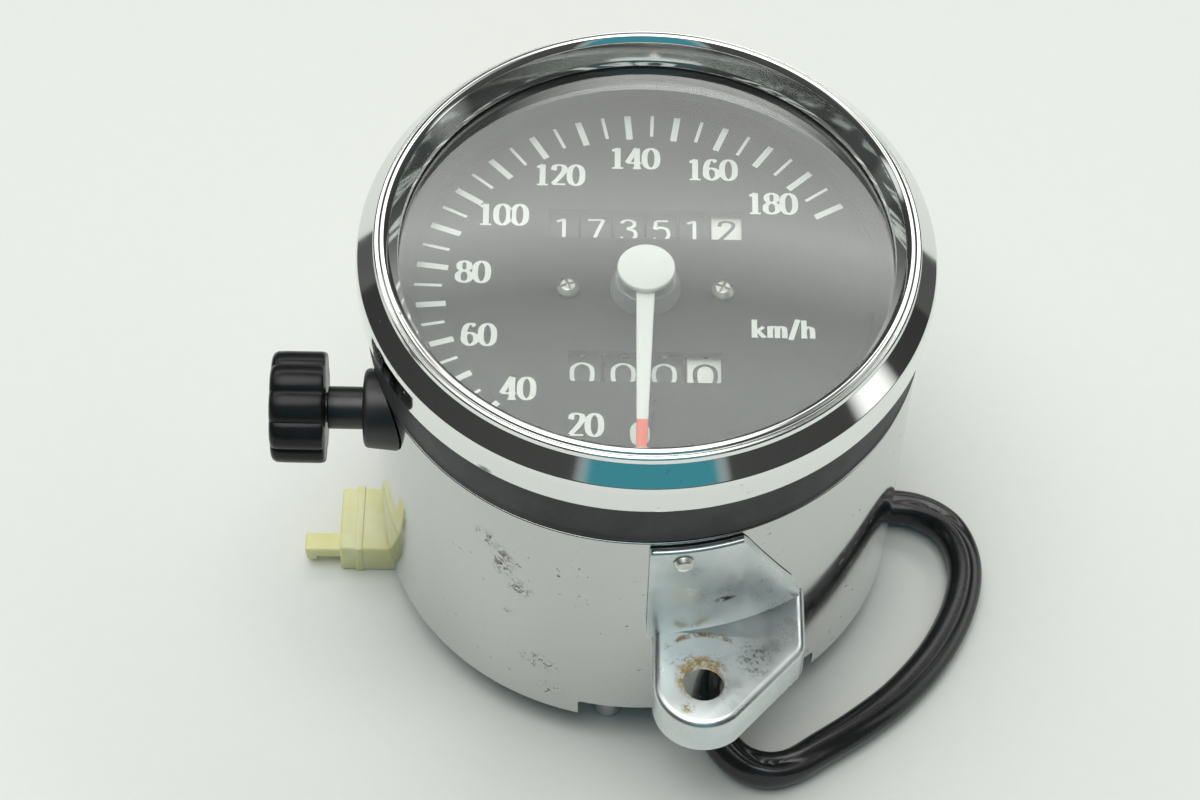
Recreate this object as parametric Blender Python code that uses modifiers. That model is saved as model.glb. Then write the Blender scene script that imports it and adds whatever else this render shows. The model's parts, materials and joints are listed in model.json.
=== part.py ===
"""A chrome motorcycle speedometer: case, dial, needle, counters, reset knob, bracket and harness.

Run with: blender --background --python part.py
World units are metres, +Z up, and the gauge stands on z = 0. Every size below is in millimetres
and is turned into metres by MM. X and Y of each piece are measured from the gauge's own axis,
which the empty gauge_axis carries: knob towards -X, bracket towards -Y.
"""
import math

import bmesh
import bpy
from mathutils import Vector

MM = 0.001
GAP = 0.3                 # running clearance, and the glue line between neighbouring pieces

# Driving dimensions, mm
BEZEL_R = 45.0            # the gauge is 90 mm across its bezel
RIM_Z = 7.0               # bottom rim of the cover, held off the ground by the studs
COVER_TOP_Z = 59.8
COVER_TOP_R = 43.6
COVER_RIM_R = 42.8
CASE_R = 40.9
CASE_FLOOR_Z = 15.8
DIAL_Z = 65.5             # the printed face
LENS_Z = 75.0             # the top of the glass
CREST_Z = 80.5
WHEEL_R = 10.0
AXLE_Z = 54.0
ODOMETER_Y = 13.7
TRIP_Y = -15.0
ODOMETER_PITCH = 5.2
TRIP_PITCH = 6.35
GEAR_X = 23.5             # plane of the two counter gears and of the worm between them
GEAR_R = 9.8
COUNTER_Y = (ODOMETER_Y + TRIP_Y) / 2
CROSS_Y = 7.0
CROSS_Z = 24.0
KNOB_END = 58.1
KNOB_R = 9.0
LIP_TOP_Z = 37.2
LIP_REACH = 61.8
LIP_HOLE = (9.9, -54.0)
LIP_HOLE_R = 3.25
BRACKET_T = 1.4
STUD_R = 2.5
STUD_CIRCLE_R = 36.2
SLEEVE_R = 3.15

# The origin is below the middle of the gauge's box, so the axis sits off it by half of what
# the knob and the bracket stick out beyond the bezel.
AXIS_X = (KNOB_END - BEZEL_R) / 2
AXIS_Y = (LIP_REACH - BEZEL_R) / 2

X_AXIS_TURN = (0, math.radians(90), 0)      # lays a turned piece along +X
STEPS_LARGE = 48
STEPS_SMALL = 20

for old in list(bpy.data.objects):
    bpy.data.objects.remove(old, do_unlink=True)

SCENE = bpy.context.scene.collection
PIECES = bpy.data.collections.new("instrument_cluster")
CUTTERS = bpy.data.collections.new("cutters")
SCENE.children.link(PIECES)
SCENE.children.link(CUTTERS)
GAUGE_AXIS = bpy.data.objects.new("gauge_axis", None)
GAUGE_AXIS.location = (AXIS_X * MM, AXIS_Y * MM, 0)
PIECES.objects.link(GAUGE_AXIS)


def material(name, colour, roughness, metallic=0.0, alpha=1.0):
    made = bpy.data.materials.new(name)
    made.use_nodes = True
    shader = made.node_tree.nodes["Principled BSDF"]
    shader.inputs["Base Color"].default_value = (*colour, 1.0)
    shader.inputs["Roughness"].default_value = roughness
    shader.inputs["Metallic"].default_value = metallic
    shader.inputs["Alpha"].default_value = alpha
    made.diffuse_color = (*colour, alpha)
    return made


CHROME = material("chrome", (0.80, 0.81, 0.82), 0.12, 1.0)
ZINC = material("zinc_plate", (0.62, 0.63, 0.64), 0.35, 1.0)
STEEL = material("steel", (0.45, 0.46, 0.47), 0.35, 1.0)
BRASS = material("brass", (0.70, 0.52, 0.24), 0.35, 1.0)
ALUMINIUM = material("aluminium", (0.77, 0.78, 0.79), 0.40, 1.0)
RUBBER = material("rubber", (0.035, 0.036, 0.038), 0.75)
BLACK_PLASTIC = material("black_plastic", (0.015, 0.015, 0.016), 0.25)
DIAL_BLACK = material("dial_black", (0.02, 0.02, 0.022), 0.60)
WHITE_PLASTIC = material("white_plastic", (0.82, 0.80, 0.76), 0.45)
CLEAR_PLASTIC = material("clear_plastic", (0.90, 0.91, 0.91), 0.10, 0.0, 0.35)
GLASS = material("glass", (0.95, 0.97, 0.97), 0.03, 0.0, 0.20)
NYLON = material("aged_nylon", (0.78, 0.72, 0.56), 0.45)


def place(name, mesh, finish, at=(0, 0, 0), turn=(0, 0, 0)):
    """Make the named object, at mm from the gauge's axis."""
    made = bpy.data.objects.new(name, mesh)
    made.parent = GAUGE_AXIS
    made.location = Vector(at) * MM
    made.rotation_euler = turn
    if finish is None:
        CUTTERS.objects.link(made)
        made.hide_render = True
        made.display_type = "WIRE"
    else:
        PIECES.objects.link(made)
        mesh.materials.append(finish)
    return made


def mesh_from(bm, name):
    mesh = bpy.data.meshes.new(name)
    bmesh.ops.recalc_face_normals(bm, faces=bm.faces)
    bm.to_mesh(mesh)
    bm.free()
    return mesh


def turned(name, profile, finish, at=(0, 0, 0), turn=(0, 0, 0), steps=STEPS_LARGE):
    """Spin (radius, height) points, clockwise from the top inside edge, about the local Z."""
    bm = bmesh.new()
    points = [bm.verts.new((r * MM, 0, z * MM)) for r, z in profile]
    for first, second in zip(points, points[1:]):
        bm.edges.new((first, second))
    solid_to_axis = profile[0][0] == 0 and profile[-1][0] == 0
    if not solid_to_axis:
        bm.edges.new((points[-1], points[0]))
    mesh = bpy.data.meshes.new(name)
    bm.to_mesh(mesh)
    bm.free()
    made = place(name, mesh, finish, at, turn)
    screw = made.modifiers.new("turn", "SCREW")
    screw.steps = steps
    screw.render_steps = steps
    screw.use_merge_vertices = True
    screw.merge_threshold = 0.00001
    return made


def ring(name, inner, outer, low, high, finish, at=(0, 0, 0), turn=(0, 0, 0), steps=STEPS_LARGE):
    profile = [(inner, high), (outer, high), (outer, low), (inner, low)]
    return turned(name, profile, finish, at, turn, steps)


def rod(name, radius, low, high, finish, at=(0, 0, 0), turn=(0, 0, 0), steps=STEPS_SMALL):
    profile = [(0, high), (radius, high), (radius, low), (0, low)]
    return turned(name, profile, finish, at, turn, steps)


def block(name, low, high, finish, bevel=0.0):
    """A box between two corners, with its upright edges rounded where bevel is given."""
    low = Vector(low)
    high = Vector(high)
    bm = bmesh.new()
    bmesh.ops.create_cube(bm, size=1)
    for vert in bm.verts:
        vert.co = Vector(c * s for c, s in zip(vert.co, (high - low) * MM))
    made = place(name, mesh_from(bm, name), finish, (low + high) / 2)
    if bevel:
        rounding = made.modifiers.new("rounding", "BEVEL")
        rounding.width = bevel * MM
        rounding.segments = 2
    return made


def extruded(name, outline, low, high, finish, at=(0, 0, 0), turn=(0, 0, 0)):
    """A flat outline of (x, y) points, given a thickness along the local Z."""
    bm = bmesh.new()
    face = bm.faces.new([bm.verts.new((x * MM, y * MM, low * MM)) for x, y in outline])
    grown = bmesh.ops.extrude_face_region(bm, geom=[face])
    lifted = [item for item in grown["geom"] if isinstance(item, bmesh.types.BMVert)]
    bmesh.ops.translate(bm, verts=lifted, vec=(0, 0, (high - low) * MM))
    return place(name, mesh_from(bm, name), finish, at, turn)


def arc(centre, radius, start, end, count):
    """Points round a circle from one angle to another, in degrees."""
    angles = [math.radians(start + (end - start) * i / (count - 1)) for i in range(count)]
    return [(centre[0] + radius * math.cos(a), centre[1] + radius * math.sin(a)) for a in angles]


def toothed_outline(root, tip, teeth):
    """A gear's or a ribbed knob's outline: four points to each tooth."""
    points = []
    for tooth in range(teeth):
        for part, radius in ((0.00, root), (0.22, tip), (0.50, tip), (0.72, root)):
            angle = 2 * math.pi * (tooth + part) / teeth
            points.append((radius * math.cos(angle), radius * math.sin(angle)))
    return points


def combine(target, tool, operation="DIFFERENCE"):
    step = target.modifiers.new(tool.name, "BOOLEAN")
    step.operation = operation
    step.solver = "EXACT"
    step.object = tool


def around(radius, degrees):
    """A point on a circle about the gauge's axis, anticlockwise from +X."""
    angle = math.radians(degrees)
    return radius * math.cos(angle), radius * math.sin(angle)


# Where things pass through the floors of the cover and the inner case
LAMP_AT = (0.0, 33.0)
GROMMET_AT = (9.5, -26.5)
STUD_ANGLES = (-97.0, 23.0, 143.0)
STUDS = [around(STUD_CIRCLE_R, angle) for angle in STUD_ANGLES]
RIVET_ANGLE = 7.6         # degrees from -Y towards +X
RIVET_Z = 56.7


def build_cutters():
    """The tools that bore the shared holes, one for each hole that crosses several pieces."""
    tools = {}
    tools["studs"] = [
        rod(f"cut_stud_{i + 1}", STUD_R + 0.35, 10, 14.9, None, (*at, 0)) for i, at in enumerate(STUDS)
    ]
    tools["lamp"] = rod("cut_lamp", 4.9, 8, 19, None, (*LAMP_AT, 0))
    tools["grommet"] = rod("cut_grommet", 5.4, 8, 19, None, (*GROMMET_AT, 0))
    tools["reset"] = rod("cut_reset", 4.9, -46, -30, None, (0, TRIP_Y, AXLE_Z), X_AXIS_TURN)
    turn = (math.radians(90), 0, math.radians(RIVET_ANGLE))
    tools["rivet"] = rod("cut_rivet", 1.3, 41, 47, None, (0, 0, RIVET_Z), turn)
    return tools


def build_covers(tools):
    wall = 1.0
    profile = [
        (COVER_TOP_R - wall, COVER_TOP_Z),
        (COVER_TOP_R, COVER_TOP_Z),
        (COVER_RIM_R, RIM_Z),
        (COVER_RIM_R - wall, RIM_Z),
        (COVER_RIM_R - wall + 0.05, 13.0),
        (8.2, 13.0),
        (8.2, 14.2),
        (COVER_RIM_R - wall + 0.08, 14.2),
    ]
    cover = turned("outer_cover", profile, CHROME)
    notch = block("cut_notch", (-9.4, -50, 5), (29, -30, 11), None)
    for tool in tools["studs"] + [tools["lamp"], tools["grommet"], tools["reset"], tools["rivet"], notch]:
        combine(cover, tool)

    floor_top = CASE_FLOOR_Z + 1.7
    profile = [
        (40.15, 73.0),
        (42.4, 73.0),
        (42.4, 70.6),
        (CASE_R, 70.2),
        (CASE_R, CASE_FLOOR_Z),
        (6.7, CASE_FLOOR_Z),
        (6.7, floor_top),
        (39.2, floor_top),
        (39.2, 64.0),
        (40.15, 64.0),
    ]
    case = turned("inner_case", profile, BLACK_PLASTIC)
    combine(case, tools["lamp"])
    combine(case, tools["grommet"])
    combine(case, tools["reset"])

    band = [(41.2, 69.9), (43.4, 69.9), (43.7, 69.3), (43.7, 60.7), (43.4, 60.1), (41.2, 60.1)]
    turned("band_seal", band, RUBBER)


def build_bezel():
    """A spun rim: rounded crest, a fine step, a sloping shoulder and an upright skirt."""
    profile = [
        (38.4, 79.6),
        (38.9, 80.3),
        (39.6, CREST_Z),
        (40.3, 80.3),
        (40.8, 79.5),
        (41.4, 79.6),
        (42.4, 78.1),
        (43.9, 75.6),
        (44.3, 74.6),
        (BEZEL_R, 70.3),
        (43.9, 70.3),
        (43.2, 74.3),
        (42.0, 76.9),
        (40.6, 78.2),
        (39.8, 77.5),
        (39.8, LENS_Z + GAP),
        (38.4, LENS_Z + GAP),
    ]
    turned("bezel", profile, CHROME)


def build_face():
    rod("lens", 41.2, LENS_Z - 1.7, LENS_Z, GLASS, steps=STEPS_LARGE)
    ring("lens_gasket", 38.0, 39.8, 72.4, 73.0, RUBBER)
    profile = [
        (38.1, 72.1),
        (39.8, 72.1),
        (39.8, DIAL_Z + GAP),
        (37.3, DIAL_Z + GAP),
        (36.9, 69.5),
        (36.2, 69.8),
        (36.2, 70.3),
    ]
    turned("dial_ring", profile, DIAL_BLACK)

    dial = rod("dial_plate", 39.8, DIAL_Z - 1.2, DIAL_Z, DIAL_BLACK, steps=STEPS_LARGE)
    combine(dial, block("cut_odometer_window", (-15.4, 10.8, 60), (15.4, 16.5, 70), None))
    combine(dial, block("cut_trip_window", (-12.0, -17.45, 60), (11.8, -11.6, 70), None))
    combine(dial, rod("cut_spindle", 2.5, 60, 70, None))
    for side, x in (("left", -12.14), ("right", 12.14)):
        combine(dial, rod(f"cut_screw_{side}", 1.25, 60, 70, None, (x, 0.2, 0)))
        head = [(0, 67.1), (1.2, 66.9), (1.95, 66.2), (1.95, 65.8), (0.9, 65.8), (0.9, 61.2), (0, 61.2)]
        turned(f"dial_screw_{side}", head, STEEL, (x, 0.2, 0), steps=STEPS_SMALL)
    stop = [(0, 72.0), (0.25, 71.9), (0.4, 71.6), (0.4, DIAL_Z + GAP), (0, DIAL_Z + GAP)]
    turned("needle_stop", stop, STEEL, (1.25, -25.3, 0), steps=STEPS_SMALL)


def build_needle():
    """Everything that swings with the needle, from the speed cup up to the cap."""
    rest_turn = (0, 0, math.radians(-1.04))
    blade = [(-1.5, 3.0), (-1.45, -4.0), (-0.78, -33.6), (-0.45, -34.4)]
    mirrored = [(-x, y) for x, y in reversed(blade)]
    extruded("needle", blade + mirrored, 69.7, 70.9, WHITE_PLASTIC, turn=rest_turn)
    cap = [(0, 72.1), (4.1, 72.1), (4.5, 71.8), (4.5, 71.2), (0, 71.2)]
    turned("needle_cap", cap, WHITE_PLASTIC, steps=32)
    ring("needle_hub", 1.1, 5.6, 66.4, 69.4, CLEAR_PLASTIC, steps=32)
    rod("needle_spindle", 0.8, 38.6, 69.3, STEEL)
    profile = [
        (1.1, 39.9),
        (13.5, 39.9),
        (13.5, 32.6),
        (12.9, 32.6),
        (12.9, 39.2),
        (1.1, 39.2),
    ]
    turned("speed_cup", profile, ALUMINIUM, steps=32)


def build_hairspring():
    """A flat spiral between the cup and the bridge."""
    turns = 3
    count = 16 * turns
    curve = bpy.data.curves.new("hairspring_path", "CURVE")
    curve.dimensions = "3D"
    curve.bevel_depth = 0.12 * MM
    curve.bevel_resolution = 0
    curve.use_fill_caps = True
    spline = curve.splines.new("POLY")
    spline.points.add(count)
    for i, point in enumerate(spline.points):
        angle = 2 * math.pi * i / 16
        radius = (1.6 + 3.6 * i / count) * MM
        point.co = (radius * math.cos(angle), radius * math.sin(angle), 0, 1)
    place("hairspring", curve, BRASS, (0, 0, 40.5))


def build_drive():
    shaft = [
        (0, 37.6),
        (1.5, 37.6),
        (1.5, 27.6),
        (2.1, 27.3),
        (2.1, 20.7),
        (1.5, 20.4),
        (1.5, 8.4),
        (0, 8.4),
    ]
    turned("drive_shaft", shaft, STEEL, steps=STEPS_SMALL)
    ring("magnet", 1.8, 11.5, 33.0, 37.6, STEEL, steps=32)
    ring("flux_ring", 14.0, 15.6, 31.0, 39.6, STEEL, steps=32)


def toothed(name, teeth, tip, low, high, finish, at, turn, hub=None, bore=0.0):
    """A toothed wheel, with a hub (radius, low, high) and a bore where it has them."""
    gear = extruded(name, toothed_outline(tip - 0.7, tip, teeth), low, high, finish, at, turn)
    if hub:
        combine(gear, rod(f"join_{name}_hub", *hub, None, at, turn), "UNION")
    if bore:
        combine(gear, rod(f"cut_{name}_bore", bore, -80, 80, None, at, turn))
    return gear


def build_gear_train():
    """Worm wheel on a cross shaft, then an upright worm that turns both counters' gears."""
    cross_at = (0, CROSS_Y, CROSS_Z)
    cross = toothed("cross_shaft", 28, 4.5, -1.6, 1.6, BRASS, cross_at, X_AXIS_TURN, (1.2, -4, 27))
    far_gear = extruded(
        "join_cross_gear", toothed_outline(2.5, 3.1, 10), GEAR_X - 2, GEAR_X + 2, None, cross_at, X_AXIS_TURN
    )
    combine(cross, far_gear, "UNION")

    upright_at = (GEAR_X, COUNTER_Y, 0)
    upright = toothed("counter_shaft", 20, 4.0, 22, 26, BRASS, upright_at, (0, 0, 0), (1.2, 20.3, 60))
    worm_r = (ODOMETER_Y - TRIP_Y) / 2 - GEAR_R - 0.35
    worm = [(0, 59.0), (worm_r - 0.8, 59.0), (worm_r, 58.2), (worm_r, 49.8), (worm_r - 0.8, 49.0), (0, 49.0)]
    combine(upright, turned("join_worm", worm, None, upright_at, steps=STEPS_SMALL), "UNION")

    for name, y, inner_end in (("odometer_gear", ODOMETER_Y, 15.9), ("trip_gear", TRIP_Y, 12.9)):
        low = GEAR_X - 1.2
        high = GEAR_X + 1.2
        hub = (2.7, inner_end, high)
        toothed(name, 25, GEAR_R, low, high, BRASS, (0, y, AXLE_Z), X_AXIS_TURN, hub, 1.75)


def build_counters():
    for i in range(6):
        x = ODOMETER_PITCH * (2.5 - i)
        half = ODOMETER_PITCH / 2 - GAP / 2
        finish = WHITE_PLASTIC if i == 0 else DIAL_BLACK
        at = (x, ODOMETER_Y, AXLE_Z)
        ring(f"odometer_wheel_{i + 1}", 1.75, WHEEL_R, -half, half, finish, at, X_AXIS_TURN, 24)
    for i in range(4):
        x = TRIP_PITCH * (1.5 - i) - 0.1
        finish = WHITE_PLASTIC if i == 0 else DIAL_BLACK
        at = (x, TRIP_Y, AXLE_Z)
        ring(f"trip_wheel_{i + 1}", 1.75, WHEEL_R, -2.9, 2.9, finish, at, X_AXIS_TURN, 24)
    rod("odometer_axle", 1.4, -19.4, 26.0, STEEL, (0, ODOMETER_Y, AXLE_Z), X_AXIS_TURN)


def build_frame():
    """A base disc with two upright cheeks that carry the axles, and a tab for each dial screw."""
    frame = ring("movement_frame", 6.7, 27.4, 17.9, 19.4, STEEL)
    cheek = [(-22, 19), (22, 19), (22, 36), (20.5, 60), (14, 63.7), (2.6, 63.7), (-2.6, 63.7), (-20.5, 60), (-22, 36)]
    upright_turn = (math.radians(90), 0, math.radians(90))
    for side, low, high in (("left", -18.6, -17.2), ("right", 17.2, 18.6)):
        combine(frame, extruded(f"join_cheek_{side}", cheek, low, high, None, turn=upright_turn), "UNION")
    tab_hole = 1.2
    for side, low, high, x in (("left", -18, -10, -12.14), ("right", 10, 18, 12.14)):
        combine(frame, block(f"join_tab_{side}", (low, -2.4, 62.2), (high, 2.6, 63.6), None), "UNION")
        combine(frame, rod(f"cut_tab_{side}", tab_hole, 60, 65, None, (x, 0.2, 0)))
    combine(frame, rod("cut_axle_odometer", 1.75, -20, 17.9, None, (0, ODOMETER_Y, AXLE_Z), X_AXIS_TURN))
    combine(frame, rod("cut_axle_trip", 1.75, -20, 17.9, None, (0, TRIP_Y, AXLE_Z), X_AXIS_TURN))
    for name, y in (("odometer", ODOMETER_Y), ("trip", TRIP_Y)):
        combine(frame, rod(f"cut_hub_{name}", 3.1, 16.5, 20, None, (0, y, AXLE_Z), X_AXIS_TURN))
    combine(frame, rod("cut_cross", 1.6, -5, 30, None, (0, CROSS_Y, CROSS_Z), X_AXIS_TURN))
    combine(frame, rod("cut_upright", 1.6, 15, 22, None, (GEAR_X, COUNTER_Y, 0)))
    bridge = block("spindle_bridge", (-16.9, -3.2, 41.4), (16.9, 3.2, 42.7), STEEL)
    combine(bridge, rod("cut_bridge", 1.1, 40, 44, None))


def build_reset(tools):
    at = (0, TRIP_Y, AXLE_Z)
    shaft = [
        (0, 26.0),
        (1.4, 26.0),
        (1.4, -19.2),
        (3.35, -19.4),
        (3.35, -49.3),
        (2.4, -49.4),
        (2.4, -55.0),
        (0, -55.0),
    ]
    turned("reset_shaft", shaft, STEEL, at, X_AXIS_TURN, STEPS_SMALL)

    ribs = 10
    outline = []
    for step in range(ribs * 6):
        angle = 2 * math.pi * step / (ribs * 6)
        radius = KNOB_R * (1 - 0.03 * (1 - math.cos(ribs * angle)))
        outline.append((radius * math.cos(angle), radius * math.sin(angle)))
    knob = extruded("reset_knob", outline, -KNOB_END, -KNOB_END + 8.4, BLACK_PLASTIC, at, X_AXIS_TURN)
    rounding = knob.modifiers.new("rounding", "BEVEL")
    rounding.width = 0.8 * MM
    rounding.segments = 2
    rounding.limit_method = "ANGLE"
    rounding.angle_limit = math.radians(60)
    combine(knob, rod("cut_knob_bore", 2.75, -55.4, -40, None, at, X_AXIS_TURN))

    grommet = ring("reset_grommet", 3.75, 6.8, -43.8, -36.8, RUBBER, at, X_AXIS_TURN, 32)
    outside = rod("cut_grommet_back", 43.95, 30, 70, None, steps=STEPS_LARGE)
    combine(grommet, outside)
    neck = ring("join_grommet_neck", 3.75, 4.55, -43.5, -38.0, None, at, X_AXIS_TURN, 32)
    combine(grommet, neck, "UNION")


def lip_outline(inset):
    """The lip from above: straight left edge, round end about the hole, slanted right edge."""
    end_r = 7.8 - inset
    slant = 41.3
    points = [(2.1 + inset, -43.0)]
    points += arc(LIP_HOLE, end_r, 180, 360 - (90 - slant), 12)
    right = 25.8 - inset
    last_x, last_y = points[-1]
    run = right - last_x
    points.append((right, last_y + run / math.tan(math.radians(slant))))
    points.append((right, -36.2))
    return points


def build_bracket(tools):
    """Bent sheet: a lip with a turned-down edge, and a tongue that follows the cover."""
    inner_r = COVER_TOP_R + 0.2
    outer_r = inner_r + BRACKET_T
    under = LIP_TOP_Z - BRACKET_T
    back = arc((0, 0), inner_r, -54.5, -87.2, 9)
    bracket = extruded("mounting_bracket", lip_outline(0) + back, 30.0, LIP_TOP_Z, ZINC)
    far_back = arc((0, 0), inner_r - 1.5, -54.0, -85.0, 9)
    combine(bracket, extruded("cut_lip_pocket", lip_outline(BRACKET_T) + far_back, 25, under, None))
    tongue_outline = arc((0, 0), outer_r, -88.7, -56.5, 9) + arc((0, 0), inner_r, -56.5, -88.7, 9)
    tongue = extruded("join_tongue", tongue_outline, under + 0.2, 59.0, None)
    slant = [(15.2, 60), (15.2, 59.0), (24.9, 38.8), (32, 38.8), (32, 60)]
    combine(tongue, extruded("cut_tongue_slant", slant, 30, 50, None, turn=(math.radians(90), 0, 0)))
    combine(bracket, tongue, "UNION")
    combine(bracket, rod("cut_lip_hole", LIP_HOLE_R, 25, 45, None, (*LIP_HOLE, 0), steps=32))
    combine(bracket, tools["rivet"])
    turn = (math.radians(90), 0, math.radians(RIVET_ANGLE))
    start = outer_r + GAP
    head = [(0, start + 0.8), (1.1, start + 0.6), (1.7, start), (1.0, start), (1.0, 42.0), (0, 42.0)]
    turned("bracket_rivet", head, STEEL, (0, 0, RIVET_Z), turn, STEPS_SMALL)


def build_fixings():
    for i, at in enumerate(STUDS):
        stud = [(0, 15.4), (STUD_R, 15.4), (STUD_R, 0.6), (STUD_R - 0.6, 0), (0, 0)]
        turned(f"cover_stud_{i + 1}", stud, STEEL, (*at, 0), steps=STEPS_SMALL)
        nut = extruded(f"cover_nut_{i + 1}", arc((0, 0), 4.5, 0, 300, 6), 8.6, 12.7, STEEL, (*at, 0))
        combine(nut, rod(f"cut_nut_{i + 1}", STUD_R + GAP, 5, 15, None, (*at, 0)))
    ferrule = [
        (6.3, 19.6),
        (6.3, 15.4),
        (7.8, 15.4),
        (7.8, 1.5),
        (4.6, 1.5),
        (4.6, 8.0),
        (1.9, 8.0),
        (1.9, 19.6),
    ]
    turned("cable_ferrule", ferrule, ZINC, steps=32)
    ring("lamp_socket", 1.0, 4.5, 10.0, 20.0, BLACK_PLASTIC, (*LAMP_AT, 0), steps=STEPS_SMALL)
    bulb = [(0, 33.0), (2.0, 32.3), (3.3, 30.0), (3.3, 27.0), (2.2, 23.0), (2.2, 20.3), (0, 20.3)]
    turned("lamp_bulb", bulb, GLASS, (*LAMP_AT, 0), steps=STEPS_SMALL)


# The sleeve's route, mm: out of the elbow, forward through the notch, round the front and the
# right side, back in under the rim, round the cable ferrule and into the plug.
SLEEVE_ROUTE = [
    (11.2, -33.4, 6.9), (11.7, -37.2, 6.6), (12.4, -41.4, 5.6), (14.0, -45.2, 4.4), (17.2, -48.4, 3.5),
    (21.4, -49.8, 3.2), (25.8, -48.7, 3.2), (30.4, -45.6, 3.2), (37.1, -40.7, 3.2), (43.9, -34.6, 3.2),
    (50.1, -26.6, 3.2), (54.4, -17.6, 3.2), (55.8, -9.2, 3.2), (53.6, -2.3, 3.2), (48.6, 1.6, 3.2),
    (42.6, 2.8, 3.2), (35.6, 3.2, 3.2), (28.0, 4.8, 3.2), (19.6, 9.0, 3.2), (10.4, 13.0, 3.2),
    (0.4, 13.9, 3.2), (-9.4, 11.6, 3.2), (-17.6, 6.6, 3.2), (-24.0, 0.0, 3.2), (-29.6, -3.2, 3.2),
    (-34.2, -3.7, 3.2),
]


def smooth_route(knots, per_span):
    """Points on a smooth curve through the knots."""
    ends = [2 * Vector(knots[0]) - Vector(knots[1])]
    ends += [Vector(k) for k in knots]
    ends += [2 * Vector(knots[-1]) - Vector(knots[-2])]
    points = []
    for a, b, c, d in zip(ends, ends[1:], ends[2:], ends[3:]):
        for step in range(per_span):
            t = step / per_span
            bend = (2 * a - 5 * b + 4 * c - d) * t * t + (3 * b - a - 3 * c + d) * t * t * t
            points.append(b + ((c - a) * t + bend) / 2)
    points.append(Vector(knots[-1]))
    return points


def build_harness():
    elbow = rod("harness_grommet", 5.1, 6.9, 16.2, RUBBER, (*GROMMET_AT, 0))
    outlet_at = (10.85, -31.0, 6.9)
    outlet_turn = (math.radians(90), 0, math.radians(8))
    combine(elbow, rod("join_elbow_outlet", 5.0, -7.5, 4.6, None, outlet_at, outlet_turn), "UNION")
    combine(elbow, rod("cut_elbow_mouth", SLEEVE_R + 0.5, 1.6, 6, None, outlet_at, outlet_turn))
    curve = bpy.data.curves.new("sleeve_path", "CURVE")
    curve.dimensions = "3D"
    curve.bevel_depth = SLEEVE_R * MM
    curve.bevel_resolution = 2
    curve.use_fill_caps = True
    spline = curve.splines.new("POLY")
    route = smooth_route(SLEEVE_ROUTE, 2)
    spline.points.add(len(route) - 1)
    for point, place_mm in zip(spline.points, route):
        point.co = (*(place_mm * MM), 1)
    place("harness_sleeve", curve, BLACK_PLASTIC)

    plug = block("harness_plug", (-50.0, -10.0, 0.0), (-34.8, 2.6, 6.4), NYLON)
    latch = block("join_latch", (-56.0, -8.8, 2.0), (-49.0, -5.2, 4.2), None)
    combine(plug, latch, "UNION")
    combine(plug, block("cut_plug_cavity", (-51.0, -3.9, 1.2), (-42.0, 1.4, 5.2), None))


def main():
    tools = build_cutters()
    build_covers(tools)
    build_bezel()
    build_face()
    build_needle()
    build_hairspring()
    build_drive()
    build_gear_train()
    build_counters()
    build_frame()
    build_reset(tools)
    build_bracket(tools)
    build_fixings()
    build_harness()
    bpy.context.view_layer.update()


main()
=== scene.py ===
# %% [markdown]
# # A chrome motorcycle speedometer
# The mechanical design is already packed: every node of it has its size, its place and its body.
# This lesson gives it its looks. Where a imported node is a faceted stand-in, a finer piece is turned,
# bent or drawn in its place; where its shape is right, it keeps its mesh and gets a finish.

# %% Load the frame
import json
import math

import bmesh
import bpy
from mathutils import Matrix, Vector


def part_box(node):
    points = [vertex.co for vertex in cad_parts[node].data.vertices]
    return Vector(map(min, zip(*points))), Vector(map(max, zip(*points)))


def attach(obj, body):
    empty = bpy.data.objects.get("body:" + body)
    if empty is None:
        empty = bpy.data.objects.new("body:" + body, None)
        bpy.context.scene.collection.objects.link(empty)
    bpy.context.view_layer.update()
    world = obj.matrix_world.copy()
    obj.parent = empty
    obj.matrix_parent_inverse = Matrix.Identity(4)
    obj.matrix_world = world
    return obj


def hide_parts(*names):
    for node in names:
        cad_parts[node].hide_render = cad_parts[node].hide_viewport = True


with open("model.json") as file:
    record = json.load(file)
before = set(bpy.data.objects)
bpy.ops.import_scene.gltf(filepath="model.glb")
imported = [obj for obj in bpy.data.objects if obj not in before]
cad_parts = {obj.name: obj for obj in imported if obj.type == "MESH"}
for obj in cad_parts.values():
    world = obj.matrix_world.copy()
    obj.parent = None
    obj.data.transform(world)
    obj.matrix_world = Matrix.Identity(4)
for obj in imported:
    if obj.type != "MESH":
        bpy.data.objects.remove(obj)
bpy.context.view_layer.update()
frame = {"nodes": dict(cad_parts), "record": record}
MM = 0.001

# %% [markdown]
# Everything round on a gauge shares one upright axis, so that axis is the natural place to measure
# from. The bezel is a full ring: the middle of its box is the axis. From here on, sizes are in
# millimetres from that axis, with Z from the surface that the gauge stands on.

# %% The gauge's axis
bezel_low, bezel_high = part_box("bezel")
AXIS = Vector(((bezel_low.x + bezel_high.x) / 2, (bezel_low.y + bezel_high.y) / 2, 0))


def spot(x, y, z):
    """Millimetres from the gauge's axis, as a point in metres."""
    return AXIS + Vector((x, y, z)) * MM


def height(node, top=True):
    """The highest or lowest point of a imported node, in millimetres."""
    low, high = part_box(node)
    return (high.z if top else low.z) / MM


def centre_of(node):
    """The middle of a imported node's box, in millimetres from the axis."""
    low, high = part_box(node)
    return ((low + high) / 2 - AXIS) / MM


print("axis at", [round(v / MM, 2) for v in AXIS], "crest at", round(height("bezel"), 2))

# %% [markdown]
# The camera is a long lens held by hand: steep, a little left of the axis, and tilted by a degree
# and a half. Building its three directions by hand keeps that tilt exact. The look direction comes
# from the pitch, and the other two follow from it.

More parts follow.
